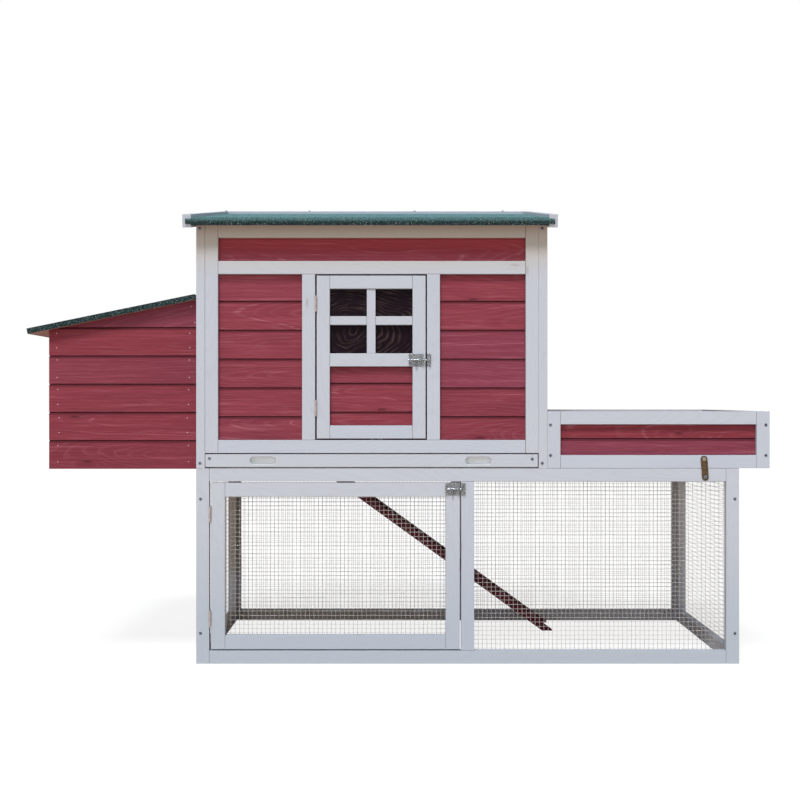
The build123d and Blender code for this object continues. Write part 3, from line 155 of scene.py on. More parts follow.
def timber(node, material, easing):
    """Replaces a wooden node by the same sticks with eased edges, each with its own run of grain.

    The attributes tell the material where it is on its stick: "grain" runs along, across and
    through the wood, "place" is measured from the stick's middle, "reach" is half its size and
    "below" is the drop from its top, which is NO_LAP more where no board laps over it.
    """
    bm = copied(node)
    grain = bm.verts.layers.float_vector.new("grain")
    place = bm.verts.layers.float_vector.new("place")
    reach = bm.verts.layers.float_vector.new("reach")
    tone = bm.verts.layers.float.new("tone")
    below = bm.verts.layers.float.new("below")
    index = bm.verts.layers.int.new("stick")
    groups = islands(bm)
    dice = random.Random(f"{node} {WOOD_SEED}")
    sticks = []
    bottoms = [min(vert.co.z for vert in group) for group in groups]
    for group in groups:
        axes = own_axes(group)
        shift = Vector([dice.uniform(0, GRAIN_SHIFT) for _ in range(3)])
        top = max(vert.co.z for vert in group)
        lapped = any(0 < top - bottom < LAP_DEPTH for bottom in bottoms)
        sticks.append((axes, shift, dice.random(), top if lapped else top + NO_LAP))
    for number, group in enumerate(groups):
        for vert in group:
            vert[index] = number
    round_edges(bm, easing)
    for vert in bm.verts:
        axes, shift, shade, top = sticks[vert[index]]
        along = Vector([axis.dot(vert.co) - centre for _, axis, centre in axes])
        vert[place] = along
        vert[grain] = along + shift
        vert[reach] = Vector([size / 2 for size, _, _ in axes])
        vert[tone] = shade
        vert[below] = top - vert.co.z
    mesh = smooth_mesh(bm, node + "_wood")
    piece = new_piece(node + "_timber", mesh, node, material)
    soften(piece)


def smooth_mesh(bm, name):
    """Turns a bmesh into a smooth shaded mesh."""
    mesh = bpy.data.meshes.new(name)
    bm.to_mesh(mesh)
    bm.free()
    mesh.polygons.foreach_set("use_smooth", [True] * len(mesh.polygons))
    return mesh


def soften(piece):
    """Shades flat faces flat and rounded edges smooth."""
    weighted = piece.modifiers.new("weighted normals", "WEIGHTED_NORMAL")
    weighted.keep_sharp = True


def screws(node, material):
    """Replaces a node of screw heads by the same heads, each with its own middle marked for the material."""
    bm = copied(node)
    place = bm.verts.layers.float_vector.new("place")
    for group in islands(bm):
        low, high = extents(group)
        faces_front = high.y - low.y < high.z - low.z
        turn = HEAD_TURN * ((len(group) + round(low.x / MM)) % HEAD_TURNS)
        for vert in group:
            off = vert.co - (low + high) / 2
            flat = Vector((off.x, off.z if faces_front else off.y, 0))
            flat.rotate(Euler((0, 0, turn)))
            vert[place] = flat
    mesh = bpy.data.meshes.new(node + "_heads")
    bm.to_mesh(mesh)
    bm.free()
    new_piece(node + "_heads", mesh, node, material)


# ---------------------------------------------------------------- node helpers


class Shader:
    """A material's node tree, with short ways to add nodes."""

    def __init__(self, name):
        self.material = bpy.data.materials.new(name)
        self.material.use_nodes = True
        self.tree = self.material.node_tree
        self.surface = self.tree.nodes["Principled BSDF"]

    def add(self, kind, **settings):
        """Adds a node and sets its properties."""
        node = self.tree.nodes.new(kind)
        for key, value in settings.items():
            setattr(node, key, value)
        return node

    def put(self, value, socket):
        """Sets a socket from a number, a colour or another socket."""
        if isinstance(value, bpy.types.NodeSocket):
            self.tree.links.new(value, socket)
        else:
            socket.default_value = value

    def math(self, operation, first, second=0.0):
        """The result of an operation on one or two values."""
        node = self.add("ShaderNodeMath", operation=operation)
        self.put(first, node.inputs[0])
        self.put(second, node.inputs[1])
        return node.outputs[0]

    def hypot(self, aside, above):
        """The distance of a point that lies so far aside and so far above."""
        squares = [self.math("MULTIPLY", leg, leg) for leg in (aside, above)]
        return self.math("SQRT", self.math("ADD", *squares))

    def scaled(self, vector, factors):
        """Stretches a vector by a factor for each direction."""
        node = self.add("ShaderNodeVectorMath", operation="MULTIPLY")
        self.put(vector, node.inputs[0])
        node.inputs[1].default_value = factors
        return node.outputs[0]

    def noise(self, vector, scale=1.0, detail=3.0, roughness=0.5):
        """Cloudy noise around 0.5."""
        node = self.add("ShaderNodeTexNoise")
        self.put(vector, node.inputs["Vector"])
        node.inputs["Scale"].default_value = scale
        node.inputs["Detail"].default_value = detail
        node.inputs["Roughness"].default_value = roughness
        return node.outputs["Fac"]

    def ramp(self, value, low, high, start=0.0, end=1.0):
        """Maps the span low..high to start..end, smoothly, and stays inside it."""
        node = self.add("ShaderNodeMapRange", interpolation_type="SMOOTHSTEP")
        self.put(value, node.inputs["Value"])
        node.inputs["From Min"].default_value = low
        node.inputs["From Max"].default_value = high
        node.inputs["To Min"].default_value = start
        node.inputs["To Max"].default_value = end
        return node.outputs["Result"]

    def mix(self, factor, first, second):
        """Goes from the first colour to the second as the factor goes from 0 to 1."""
        node = self.add("ShaderNodeMix", data_type="RGBA")
        self.put(factor, node.inputs["Factor"])
        self.put(first, node.inputs["A"])
        self.put(second, node.inputs["B"])
        return node.outputs["Result"]

    def attribute(self, name):
        """The outputs of a mesh attribute."""
        return self.add("ShaderNodeAttribute", attribute_name=name).outputs

    def spot(self):
        """A point's place on the object at rest, in metres from the frame's origin."""
        return self.add("ShaderNodeTexCoord").outputs["Object"]

    def parts(self, vector):
        """The three parts of a vector or a colour."""
        node = self.add("ShaderNodeSeparateXYZ")
        self.put(vector, node.inputs[0])
        return node.outputs

    def bump(self, height, distance, strength=1.0, below=None):
        """Relief from a height, over another relief where there is one below."""
        node = self.add("ShaderNodeBump")
        self.put(height, node.inputs["Height"])
        node.inputs["Distance"].default_value = distance
        node.inputs["Strength"].default_value = strength
        if below is not None:
            self.put(below, node.inputs["Normal"])
        return node.outputs["Normal"]


def linear(red, green, blue):
    """A colour given as 0..255 sRGB values, as the shader wants it."""

    def one(value):
        value /= 255
        return value / 12.92 if value <= 0.04045 else ((value + 0.055) / 1.055) ** 2.4

    return (one(red), one(green), one(blue), 1.0)


# ---------------------------------------------------------------- timber materials

RING_SPACING = 5.2 * MM
PALE_LINE_SPACING = RING_SPACING * 3.3
NAIL_END = 16 * MM
NAIL_END_SPREAD = 9 * MM
NAIL_SIDE = 12 * MM
NAIL_SIDE_SPREAD = 7 * MM
NAIL_RADIUS = 1.3 * MM
LAP_SHADE = 3.6 * MM


def wood_figure(look, knotless_share):
    """Growth rings, fibres, knots and the distance to the nearest edge of a stick.

    Every stick is cut from its own place in a log whose axis leans a little, so that the rings
    run out of the face as long pointed arches.
    """
    grain = look.attribute("grain")["Vector"]
    place = look.attribute("place")["Vector"]
    tone = look.attribute("tone")["Fac"]
    along, across, through = look.parts(place)[:3]

    # knots: one in some of the cells
    knot_cells = look.add("ShaderNodeTexVoronoi", voronoi_dimensions="2D")
    look.put(look.scaled(grain, (5.5, 19.0, 0.0)), knot_cells.inputs["Vector"])
    knot_cells.inputs["Scale"].default_value = 1.0
    lot = look.parts(knot_cells.outputs["Color"])[0]
    chosen = look.math("GREATER_THAN", lot, knotless_share)
    near = look.ramp(knot_cells.outputs["Distance"], 0.03, 0.30, 1.0, 0.0)
    knot = look.math("MULTIPLY", near, chosen)
    core = look.math("MULTIPLY", look.ramp(knot_cells.outputs["Distance"], 0.03, 0.08, 1.0, 0.0), chosen)

    # rings: the distance from the log's leaning axis, bent around the knots
    sway = look.math("SUBTRACT", look.noise(look.scaled(grain, (1.9, 7.0, 7.0)), detail=2.0), 0.5)
    flow = look.math("SUBTRACT", look.noise(look.scaled(grain, (9.0, 55.0, 55.0)), detail=3.0), 0.5)
    other = look.math("FRACT", look.math("MULTIPLY", tone, 7.31))
    off_centre = look.math("MULTIPLY", look.math("SUBTRACT", other, 0.5), 0.05)
    level = look.math("ADD", look.math("ADD", across, off_centre), look.math("MULTIPLY", sway, 0.034))
    lean = look.math("ADD", look.math("MULTIPLY", along, 0.085), look.math("MULTIPLY", tone, 0.05))
    lean = look.math("ADD", look.math("ADD", lean, through), look.math("MULTIPLY", sway, 0.09))
    radius = look.math("ADD", look.hypot(level, lean), look.math("MULTIPLY", flow, 0.003))
    radius = look.math("ADD", radius, look.math("MULTIPLY", knot, 0.009))
    turn = look.math("FRACT", look.math("DIVIDE", radius, RING_SPACING))
    late = look.math("MULTIPLY", look.ramp(turn, 0.55, 0.9), look.ramp(turn, 0.92, 1.0, 1.0, 0.0))
    wide_turn = look.math("FRACT", look.math("DIVIDE", radius, PALE_LINE_SPACING))
    line = look.math("MULTIPLY", look.ramp(wide_turn, 0.88, 0.94), look.ramp(wide_turn, 0.96, 1.0, 1.0, 0.0))

    # fine fibres and broader streaks along the grain
    fibre = look.noise(look.scaled(grain, (14.0, 900.0, 900.0)), detail=4.0, roughness=0.65)
    streak = look.noise(look.scaled(grain, (4.0, 170.0, 170.0)), detail=5.0, roughness=0.65)

    # the distance to the stick's end, side and face
    size = look.add("ShaderNodeVectorMath", operation="ABSOLUTE")
    look.put(place, size.inputs[0])
    inset = look.add("ShaderNodeVectorMath", operation="SUBTRACT")
    look.put(look.attribute("reach")["Vector"], inset.inputs[0])
    look.put(size.outputs[0], inset.inputs[1])
    from_end, from_side, from_face = look.parts(inset.outputs[0])[:3]
    lower = look.math("MINIMUM", from_end, from_side)
    upper = look.math("MAXIMUM", from_end, from_side)
    return dict(
        knot=knot,
        core=core,
        late=late,
        line=line,
        fibre=fibre,
        streak=streak,
        tone=tone,
        other=other,
        end=from_end,
        side=from_side,
        edge=look.math("MAXIMUM", lower, look.math("MINIMUM", upper, from_face)),
        inside=look.math("MINIMUM", lower, from_face),
        patch=look.noise(look.scaled(grain, (4.0, 12.0, 12.0)), detail=3.0),
    )


def grain_bump(look, wood, fibre, late, streak, depth, strength):
    """The relief of brushed or rough wood."""
    height = look.math("MULTIPLY", wood["fibre"], fibre)
    height = look.math("ADD", height, look.math("MULTIPLY", wood["late"], late))
    height = look.math("ADD", height, look.math("MULTIPLY", wood["streak"], streak))
    look.put(look.bump(height, depth, strength), look.surface.inputs["Normal"])


def height_above_ground(look):
    """A point's height when the coop stands at rest, in metres."""
    return look.parts(look.spot())[2]


def painted_wood(name, eaves_painted_shade, brown_painted_shade=0.0):
    """White wood paint, thin enough for a little grain to show.

    It is greyed near the ground and tinted warm below the eaves, as painted shade. Brown patches,
    most of all towards the left, are painted shade as well.
    """
    look = Shader(name)
    wood = wood_figure(look, knotless_share=0.9)
    height = height_above_ground(look)
    patchy = look.ramp(wood["patch"], 0.3, 0.7, 0.0, 0.5)
    colour = look.mix(patchy, linear(187, 194, 205), linear(181, 188, 202))
    colour = look.mix(look.ramp(wood["tone"], 0.0, 1.0, 0.0, 0.4), colour, linear(192, 194, 199))
    colour = look.mix(look.math("MULTIPLY", wood["late"], 0.10), colour, linear(164, 162, 168))
    colour = look.mix(look.ramp(wood["streak"], 0.54, 0.76, 0.0, 0.20), colour, linear(172, 172, 180))
    colour = look.mix(look.math("MULTIPLY", wood["knot"], 0.07), colour, linear(164, 148, 134))
    colour = look.mix(look.math("MULTIPLY", wood["core"], 0.25), colour, linear(120, 98, 84))
    worn = look.math("ADD", wood["edge"], look.math("MULTIPLY", wood["streak"], 0.0024))
    colour = look.mix(look.ramp(worn, 0.0008, 0.0022, 0.55, 0.0), colour, linear(160, 152, 158))
    colour = look.mix(look.ramp(height, 0.02, 0.42, 0.75, 0.0), colour, linear(168, 178, 191))
    # painted shade: brown patches, most of all towards the left, stand in for the shade on the run's back
    # and left frames
    if brown_painted_shade:
        leftward = look.ramp(look.parts(look.spot())[0], 0.0, 0.3, 1.0, 0.2)
        shaded_patch = look.math("MULTIPLY", leftward, look.ramp(wood["patch"], 0.32, 0.5))
        colour = look.mix(look.math("MULTIPLY", shaded_patch, brown_painted_shade), colour, linear(132, 119, 98))
    # painted shade: a warm tint below the eaves stands in for the shade of the roof overhang
    colour = look.mix(look.ramp(height, 0.875, 0.985, 0.0, eaves_painted_shade), colour, linear(184, 172, 152))
    # surfaces well inside a stick, such as the backs of the finger slots, are paler than the paint: partly
    # their own paler surface, partly painted light that lifts the shade in them
    colour = look.mix(look.ramp(wood["inside"], 0.0015, 0.003), colour, linear(226, 229, 231))
    look.put(colour, look.surface.inputs["Base Color"])
    look.put(look.ramp(wood["streak"], 0.3, 0.7, 0.46, 0.6), look.surface.inputs["Roughness"])
    look.surface.inputs["Specular IOR Level"].default_value = 0.3
    grain_bump(look, wood, fibre=0.4, late=0.3, streak=0.45, depth=0.3 * MM, strength=0.6)
    return look.material


def nail_heads(look, wood):
    """Small bright heads near the ends of a board, each board a little different."""
    end = look.math("ADD", look.math("MULTIPLY", wood["other"], NAIL_END_SPREAD), NAIL_END)
    side = look.math("ADD", look.math("MULTIPLY", wood["tone"], NAIL_SIDE_SPREAD), NAIL_SIDE)
    away = look.hypot(look.math("SUBTRACT", wood["end"], end), look.math("SUBTRACT", wood["side"], side))
    return look.ramp(away, NAIL_RADIUS * 0.8, NAIL_RADIUS * 1.1, 0.8, 0.0)


def stained_wood(name, base, warm, cool, deep, pale, nails=False, lap_shadows=True):
    """Red stain on softwood, soaked in unevenly. Late wood stays paler, in a few sharp lines.

    The colours are its own, its reddest and coolest boards, and its darkest and palest fibres.
    """
    look = Shader(name)
    wood = wood_figure(look, knotless_share=0.84)
    colour = look.mix(look.ramp(wood["patch"], 0.3, 0.7, 0.0, 0.5), linear(*base), linear(*deep))
    colour = look.mix(look.ramp(wood["tone"], 0.45, 1.0, 0.0, 0.75), colour, linear(*warm))
    colour = look.mix(look.ramp(wood["tone"], 0.55, 0.0, 0.0, 0.75), colour, linear(*cool))
    colour = look.mix(look.ramp(wood["streak"], 0.56, 0.44, 0.0, 0.35), colour, linear(*deep))
    colour = look.mix(look.ramp(wood["streak"], 0.56, 0.74, 0.0, 0.45), colour, linear(*pale))
    late = look.math("MULTIPLY", wood["late"], look.ramp(wood["patch"], 0.4, 0.65, 0.02, 0.13))
    colour = look.mix(late, colour, linear(*pale))
    figured = look.math("GREATER_THAN", wood["other"], 0.55)
    unbroken = look.math("MULTIPLY", figured, look.ramp(wood["streak"], 0.42, 0.6))
    line = look.math("MULTIPLY", wood["line"], unbroken)
    colour = look.mix(look.math("MULTIPLY", line, 0.5), colour, linear(*pale))
    colour = look.mix(look.ramp(wood["fibre"], 0.52, 0.72, 0.0, 0.4), colour, linear(*deep))
    colour = look.mix(look.ramp(wood["fibre"], 0.46, 0.3, 0.0, 0.35), colour, linear(*pale))
    colour = look.mix(look.math("MULTIPLY", wood["knot"], 0.35), colour, linear(*deep))
    colour = look.mix(look.math("MULTIPLY", wood["core"], 0.55), colour, linear(60, 18, 26))
    # painted shade: a warmer red near the top stands in for the shade under the eaves
    under_eaves_painted_shade = look.ramp(height_above_ground(look), 0.93, 0.965, 0.0, 0.5)
    colour = look.mix(under_eaves_painted_shade, colour, linear(158, 48, 50))
    worn = look.math("ADD", wood["edge"], look.math("MULTIPLY", wood["streak"], 0.0026))
    colour = look.mix(look.ramp(worn, 0.001, 0.0024, 0.3, 0.0), colour, linear(*pale))
    if lap_shadows:
        # painted shadow: a dark band on each board just below the board that laps over it
        painted_lap_shadow = look.ramp(look.attribute("below")["Fac"], LAP_DEPTH, LAP_DEPTH + LAP_SHADE, 0.85, 0.0)
        colour = look.mix(painted_lap_shadow, colour, linear(82, 16, 32))
    if nails:
        colour = look.mix(nail_heads(look, wood), colour, linear(206, 184, 190))
    look.put(colour, look.surface.inputs["Base Color"])
    look.put(look.ramp(wood["streak"], 0.3, 0.7, 0.55, 0.72), look.surface.inputs["Roughness"])
    look.surface.inputs["Specular IOR Level"].default_value = 0.22
    grain_bump(look, wood, fibre=0.6, late=0.3, streak=0.6, depth=0.4 * MM, strength=0.7)
    return look.material


def bare_wood():
    """Bare softwood, planed and a little dusty."""
    look = Shader("bare_pine")
    wood = wood_figure(look, knotless_share=0.7)
    colour = look.mix(look.math("MULTIPLY", wood["late"], 0.8), linear(190, 154, 110), linear(142, 98, 58))
    colour = look.mix(look.ramp(wood["patch"], 0.3, 0.7, 0.0, 0.4), colour, linear(174, 134, 92))
    colour = look.mix(look.ramp(wood["streak"], 0.5, 0.75, 0.0, 0.35), colour, linear(134, 94, 60))
    colour = look.mix(look.math("MULTIPLY", wood["knot"], 0.5), colour, linear(116, 72, 40))
    colour = look.mix(look.math("MULTIPLY", wood["core"], 0.8), colour, linear(70, 40, 24))
    look.put(colour, look.surface.inputs["Base Color"])
    look.put(look.ramp(wood["streak"], 0.3, 0.7, 0.6, 0.78), look.surface.inputs["Roughness"])
    grain_bump(look, wood, fibre=1.0, late=0.5, streak=0.3, depth=0.4 * MM, strength=0.7)
    return look.material


# ---------------------------------------------------------------- other materials


def roofing_felt():
    """Bitumen felt with mineral granules pressed into it: dark teal on the folded front edge, and a lighter
    teal on top that is a painted reflection of the sky.
    """
    look = Shader("green_roofing_felt")
    coordinates = look.add("ShaderNodeTexCoord")
    spot = coordinates.outputs["Object"]
    # painted reflection: faces turned up, and the felt above the fold, are painted the lighter teal of the
    # sky they reflect
    sky_reflection_painted = look.ramp(look.parts(coordinates.outputs["Normal"])[2], 0.5, 0.85)
    above_fold = look.ramp(look.parts(spot)[2], FOLD_Z + 6 * MM, FOLD_Z + 17 * MM, 0.0, 0.9)
    sky_reflection_painted = look.math("MAXIMUM", sky_reflection_painted, above_fold)
    grains = look.add("ShaderNodeTexVoronoi", feature="F1")
    look.put(spot, grains.inputs["Vector"])
    grains.inputs["Scale"].default_value = 880.0
    lot = look.parts(grains.outputs["Color"])
    cloud = look.noise(spot, scale=5.0, detail=4.0)
    lit = look.mix(look.ramp(cloud, 0.3, 0.7), linear(116, 166, 170), linear(106, 156, 160))
    lit = look.mix(look.ramp(lot[0], 0.25, 0.95, 0.0, 0.7), lit, linear(128, 176, 178))
    lit = look.mix(look.math("GREATER_THAN", lot[1], 0.9), lit, linear(34, 58, 60))
    dark = look.mix(look.ramp(lot[0], 0.1, 0.9), linear(28, 44, 46), linear(66, 96, 96))
    dark = look.mix(look.math("GREATER_THAN", lot[1], 0.66), dark, linear(14, 20, 22))
    colour = look.mix(sky_reflection_painted, dark, lit)
    colour = look.mix(look.math("GREATER_THAN", lot[2], 0.965), colour, linear(176, 190, 190))
    gap = look.ramp(grains.outputs["Distance"], 0.36, 0.66, 0.0, 0.6)
    colour = look.mix(gap, colour, linear(14, 24, 26))
    look.put(colour, look.surface.inputs["Base Color"])
    look.put(look.ramp(lot[1], 0.0, 1.0, 0.75, 0.95), look.surface.inputs["Roughness"])
    look.surface.inputs["Specular IOR Level"].default_value = 0.2
    dome = look.math("SUBTRACT", 1.0, grains.outputs["Distance"])
    uneven = look.math("ADD", dome, look.math("MULTIPLY", lot[0], 0.6))
    rolled = look.bump(cloud, 0.004, 0.25)
    look.put(look.bump(uneven, 0.0008, 0.8, rolled), look.surface.inputs["Normal"])
    return look.material


def metal(name, colour, roughness, mottling=0.12, scale=120.0):
    """Plated or bare metal, mottled and lightly scratched."""
    look = Shader(name)
    spot = look.spot()
    mottle = look.noise(spot, scale=scale, detail=4.0)
    scratch = look.noise(look.scaled(spot, (300.0, 300.0, 2600.0)), detail=2.0)
    dark = tuple(channel * (1 - mottling * 3) for channel in linear(*colour)[:3]) + (1.0,)
    blotched = look.mix(look.ramp(mottle, 0.4, 0.62), linear(*colour), dark)
    look.put(blotched, look.surface.inputs["Base Color"])
    look.put(look.ramp(mottle, 0.3, 0.7, roughness, roughness + 0.18), look.surface.inputs["Roughness"])
    look.surface.inputs["Metallic"].default_value = 1.0
    look.put(look.bump(scratch, 0.00008, 0.6), look.surface.inputs["Normal"])
    return look, blotched


def cross_headed_steel():
    """Zinc-plated screw heads with a cross recess painted in dark as painted shade."""
    look, plated = metal("screw_steel", (150, 158, 172), 0.32, scale=300.0)
    off = look.add("ShaderNodeVectorMath", operation="ABSOLUTE")
    look.put(look.attribute("place")["Vector"], off.inputs[0])
    flat = look.parts(off.outputs[0])
    narrow = look.ramp(look.math("MINIMUM", flat[0], flat[1]), 0.4 * MM, 0.7 * MM, 1.0, 0.0)
    short = look.ramp(look.math("MAXIMUM", flat[0], flat[1]), 1.7 * MM, 2.0 * MM, 1.0, 0.0)
    # painted shade: the cross recess is not cut, it is painted near black
    painted_recess_shade = look.math("MULTIPLY", look.math("MULTIPLY", narrow, short), 0.9)
    look.put(look.mix(painted_recess_shade, plated, linear(30, 32, 38)), look.surface.inputs["Base Color"])
    return look.material


def bronzed_catch():
    """A bronzed bar with a bright worn stud at its upper end."""
    look, bronzed = metal("bronze_catch", (116, 96, 74), 0.5, mottling=0.14)
    spot = look.parts(look.spot())
    aside = look.math("SUBTRACT", spot[0], STUD_X)
    above = look.math("SUBTRACT", spot[2], STUD_Z)
    stud = look.ramp(look.hypot(aside, above), STUD_RADIUS, STUD_RADIUS + STUD_EDGE, 1.0, 0.0)
    look.put(look.mix(stud, bronzed, linear(172, 158, 144)), look.surface.inputs["Base Color"])
    return look.material


def spangled_sheet():
    """Hot-dipped sheet steel, with the broad crystals of its zinc."""
    look = Shader("galvanised_pan")
    spot = look.spot()
    crystals = look.add("ShaderNodeTexVoronoi")
    look.put(spot, crystals.inputs["Vector"])
    crystals.inputs["Scale"].default_value = 70.0
    lot = look.parts(crystals.outputs["Color"])[0]
    look.put(look.mix(lot, linear(166, 170, 174), linear(196, 200, 203)), look.surface.inputs["Base Color"])
    look.put(look.ramp(lot, 0.0, 1.0, 0.3, 0.5), look.surface.inputs["Roughness"])
    look.surface.inputs["Metallic"].default_value = 1.0
    look.put(look.bump(look.noise(spot, scale=9.0), 0.002, 0.2), look.surface.inputs["Normal"])
    return look.material


def pane_painted_dark():
    """Acrylic painted dark, with a wood figure in long arches: painted shade for the dark inside of the
    house seen through it.
    """
    look = Shader("clear_acrylic")
    spot = look.spot()
    side, _, up = look.parts(spot)[:3]
    sway = look.math("SUBTRACT", look.noise(look.scaled(spot, (7.0, 0.0, 16.0)), detail=3.0), 0.5)
    level = look.math("ADD", look.math("SUBTRACT", up, PANE_Z - 0.03), look.math("MULTIPLY", sway, 0.08))
    lean = look.math("ADD", look.math("MULTIPLY", look.math("SUBTRACT", side, PANE_X), 0.55), 0.022)
    turn = look.math("FRACT", look.math("DIVIDE", look.hypot(level, lean), PANE_RING_SPACING))
    line = look.math("MULTIPLY", look.ramp(turn, 0.35, 0.85), look.ramp(turn, 0.9, 1.0, 1.0, 0.0))
    faded = look.ramp(look.noise(look.scaled(spot, (17.0, 0.0, 21.0)), detail=2.0), 0.4, 0.62, 0.08, 0.85)
    fibre = look.noise(look.scaled(spot, (20.0, 0.0, 400.0)), detail=3.0)
    # painted shade: the dark base and faint wood figure stand in for the shaded inside of the house
    colour = look.mix(look.math("MULTIPLY", line, faded), linear(32, 21, 29), linear(80, 64, 62))
    colour = look.mix(look.ramp(fibre, 0.5, 0.75, 0.0, 0.5), colour, linear(16, 10, 16))
    look.put(colour, look.surface.inputs["Base Color"])
    look.surface.inputs["Roughness"].default_value = 0.3
    look.surface.inputs["IOR"].default_value = 1.15
    look.surface.inputs["Transmission Weight"].default_value = 0.25
    return look.material


RED_TONES = dict(
    base=(140, 59, 73),
    warm=(141, 57, 68),
    cool=(136, 62, 83),
    deep=(108, 34, 50),
    pale=(180, 114, 126),
)
DULL_TONES = dict(
    base=(134, 54, 68),
    warm=(136, 51, 61),
    cool=(130, 59, 79),
    deep=(103, 32, 46),
    pale=(174, 107, 118),
)
# painted shade: a darker copy of the red stain for the ramp, which sits in the shade below the house
RAMP_SHADE_TONES = dict(
    base=(104, 26, 48),
    warm=(104, 26, 42),
    cool=(100, 28, 54),
    deep=(70, 14, 32),
    pale=(136, 74, 90),
)
ROOF_TONES = dict(
    base=(170, 118, 108),
    warm=(176, 116, 100),
    cool=(166, 116, 112),
    deep=(140, 88, 78),
    pale=(196, 156, 146),
)

CATCH_LOW, CATCH_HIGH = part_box("planter_catch")
CATCH_END_RADIUS = 7.7 * MM
STUD_RADIUS = 4.3 * MM
STUD_EDGE = 0.5 * MM
STUD_X = CATCH_LOW[0] + CATCH_END_RADIUS
STUD_Z = CATCH_HIGH[2] - CATCH_END_RADIUS
PANE_LOW, PANE_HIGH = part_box("window_pane")
PANE_X = (PANE_LOW[0] + PANE_HIGH[0]) / 2
PANE_Z = (PANE_LOW[2] + PANE_HIGH[2]) / 2
PANE_RING_SPACING = 7.5 * MM
FOLD_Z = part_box("roof_felt")[0][2]

WHITE = painted_wood("white_painted_wood", 0.72)
WHITE_WITHOUT_EAVES_SHADE = painted_wood("white_painted_wood_roof", 0.0)
WHITE_WITH_PAINTED_SHADE = painted_wood("white_painted_wood_shaded", 0.0, brown_painted_shade=0.7)
RED = stained_wood("red_stained_wood", **RED_TONES)
NAILED_RED = stained_wood("red_stained_wood_nailed", nails=True, **DULL_TONES)
DULL_RED = stained_wood("red_stained_wood_dull", **DULL_TONES)
RAMP_RED_PAINTED_SHADE = stained_wood("red_stained_wood_painted_shade", lap_shadows=False, **RAMP_SHADE_TONES)
PINE = bare_wood()
ROOF_BOARD = stained_wood("roof_board", lap_shadows=False, **ROOF_TONES)
FELT = roofing_felt()
WIRE = metal("galvanised_mesh", (226, 222, 217), 0.5, scale=400.0)[0].material
ZINC = metal("zinc_hardware", (180, 184, 190), 0.32, mottling=0.24, scale=330.0)[0].material
HINGE = metal("zinc_hardware_hinges", (206, 194, 190), 0.5, mottling=0.05)[0].material
SCREW = cross_headed_steel()
BRONZE = bronzed_catch()
PAN = spangled_sheet()
PANE = pane_painted_dark()

MATERIAL_OF_SLOT = {
    "white_painted_wood": WHITE,
    "red_stained_wood": RED,
    "bare_pine": PINE,
    "roof_board": ROOF_BOARD,
    "green_roofing_felt": FELT,
    "galvanised_mesh": WIRE,
    "zinc_hardware": ZINC,
    "screw_steel": SCREW,
    "bronze_catch": BRONZE,
    "galvanised_pan": PAN,
    "clear_acrylic": PANE,
}
MATERIAL_OF_NODE = {
    "fixed_hinge_leaves": HINGE,
    "house_door_hinge_leaves": HINGE,
    "run_door_hinge_leaves": HINGE,
    "hinge_pins": HINGE,
    "roof_trim": WHITE_WITHOUT_EAVES_SHADE,
    "run_back_frame": WHITE_WITH_PAINTED_SHADE,
    "run_left_frame": WHITE_WITH_PAINTED_SHADE,
    "nest_walls": NAILED_RED,
    "planter_siding": DULL_RED,
    "ramp_rails": RAMP_RED_PAINTED_SHADE,
    "ramp_board": RAMP_RED_PAINTED_SHADE,
    "ramp_cleats": RAMP_RED_PAINTED_SHADE,
}
TIMBER_SLOTS = ("white_painted_wood", "red_stained_wood", "bare_pine", "roof_board")
THIN_BOARD_WORDS = ("siding", "walls", "infill")
WIRE_NODES = ("run_front_mesh", "run_back_mesh", "run_side_mesh", "run_door_mesh")

for node, cad in NODES.items():
    material = MATERIAL_OF_NODE.get(node, MATERIAL_OF_SLOT[SLOT_OF[node]])
    cad.data.materials.clear()
    cad.data.materials.append(material)
    if SLOT_OF[node] in TIMBER_SLOTS:
        thin = any(word in node for word in THIN_BOARD_WORDS)
        timber(node, material, BOARD_EASING if thin else STICK_EASING)
    elif SLOT_OF[node] == "screw_steel":
        screws(node, material)

# ---------------------------------------------------------------- welded wire

WIRE_PITCH = 10.1 * MM
WIRE_HALF_DEPTH = 0.12 * MM
WIRE_HALF_WIDTH = 0.42 * MM
WIRE_SIDES = 6
WIRE_STEP = 45 * MM
WIRE_SWAY = 0.3 * MM


def add_wire(bm, start, end, thin, dice):
    """A wire that sways a little in the plane of its panel, with closed ends."""
    run = end - start
    count = max(2, round(run.length / WIRE_STEP))
    depth = Vector([1 if axis == thin else 0 for axis in range(3)])
    side = run.normalized().cross(depth)
    sway = [Vector((0, 0, 0))]
    for _ in range(count):
        sway.append(side * dice.uniform(-1, 1) * WIRE_SWAY)
    sway[-1] = Vector((0, 0, 0))
    rings = []
    for step in range(count + 1):
        centre = start + run * (step / count) + sway[step]
        ring = []
        for corner in range(WIRE_SIDES):
            angle = 2 * math.pi * corner / WIRE_SIDES
            offset = side * math.cos(angle) * WIRE_HALF_WIDTH + depth * math.sin(angle) * WIRE_HALF_DEPTH
            ring.append(bm.verts.new(centre + offset))
        rings.append(ring)
    for near, far in zip(rings, rings[1:]):
        for corner in range(WIRE_SIDES):
            after = (corner + 1) % WIRE_SIDES
            bm.faces.new((near[corner], near[after], far[after], far[corner]))
    bm.faces.new(list(reversed(rings[0])))
    bm.faces.new(rings[-1])


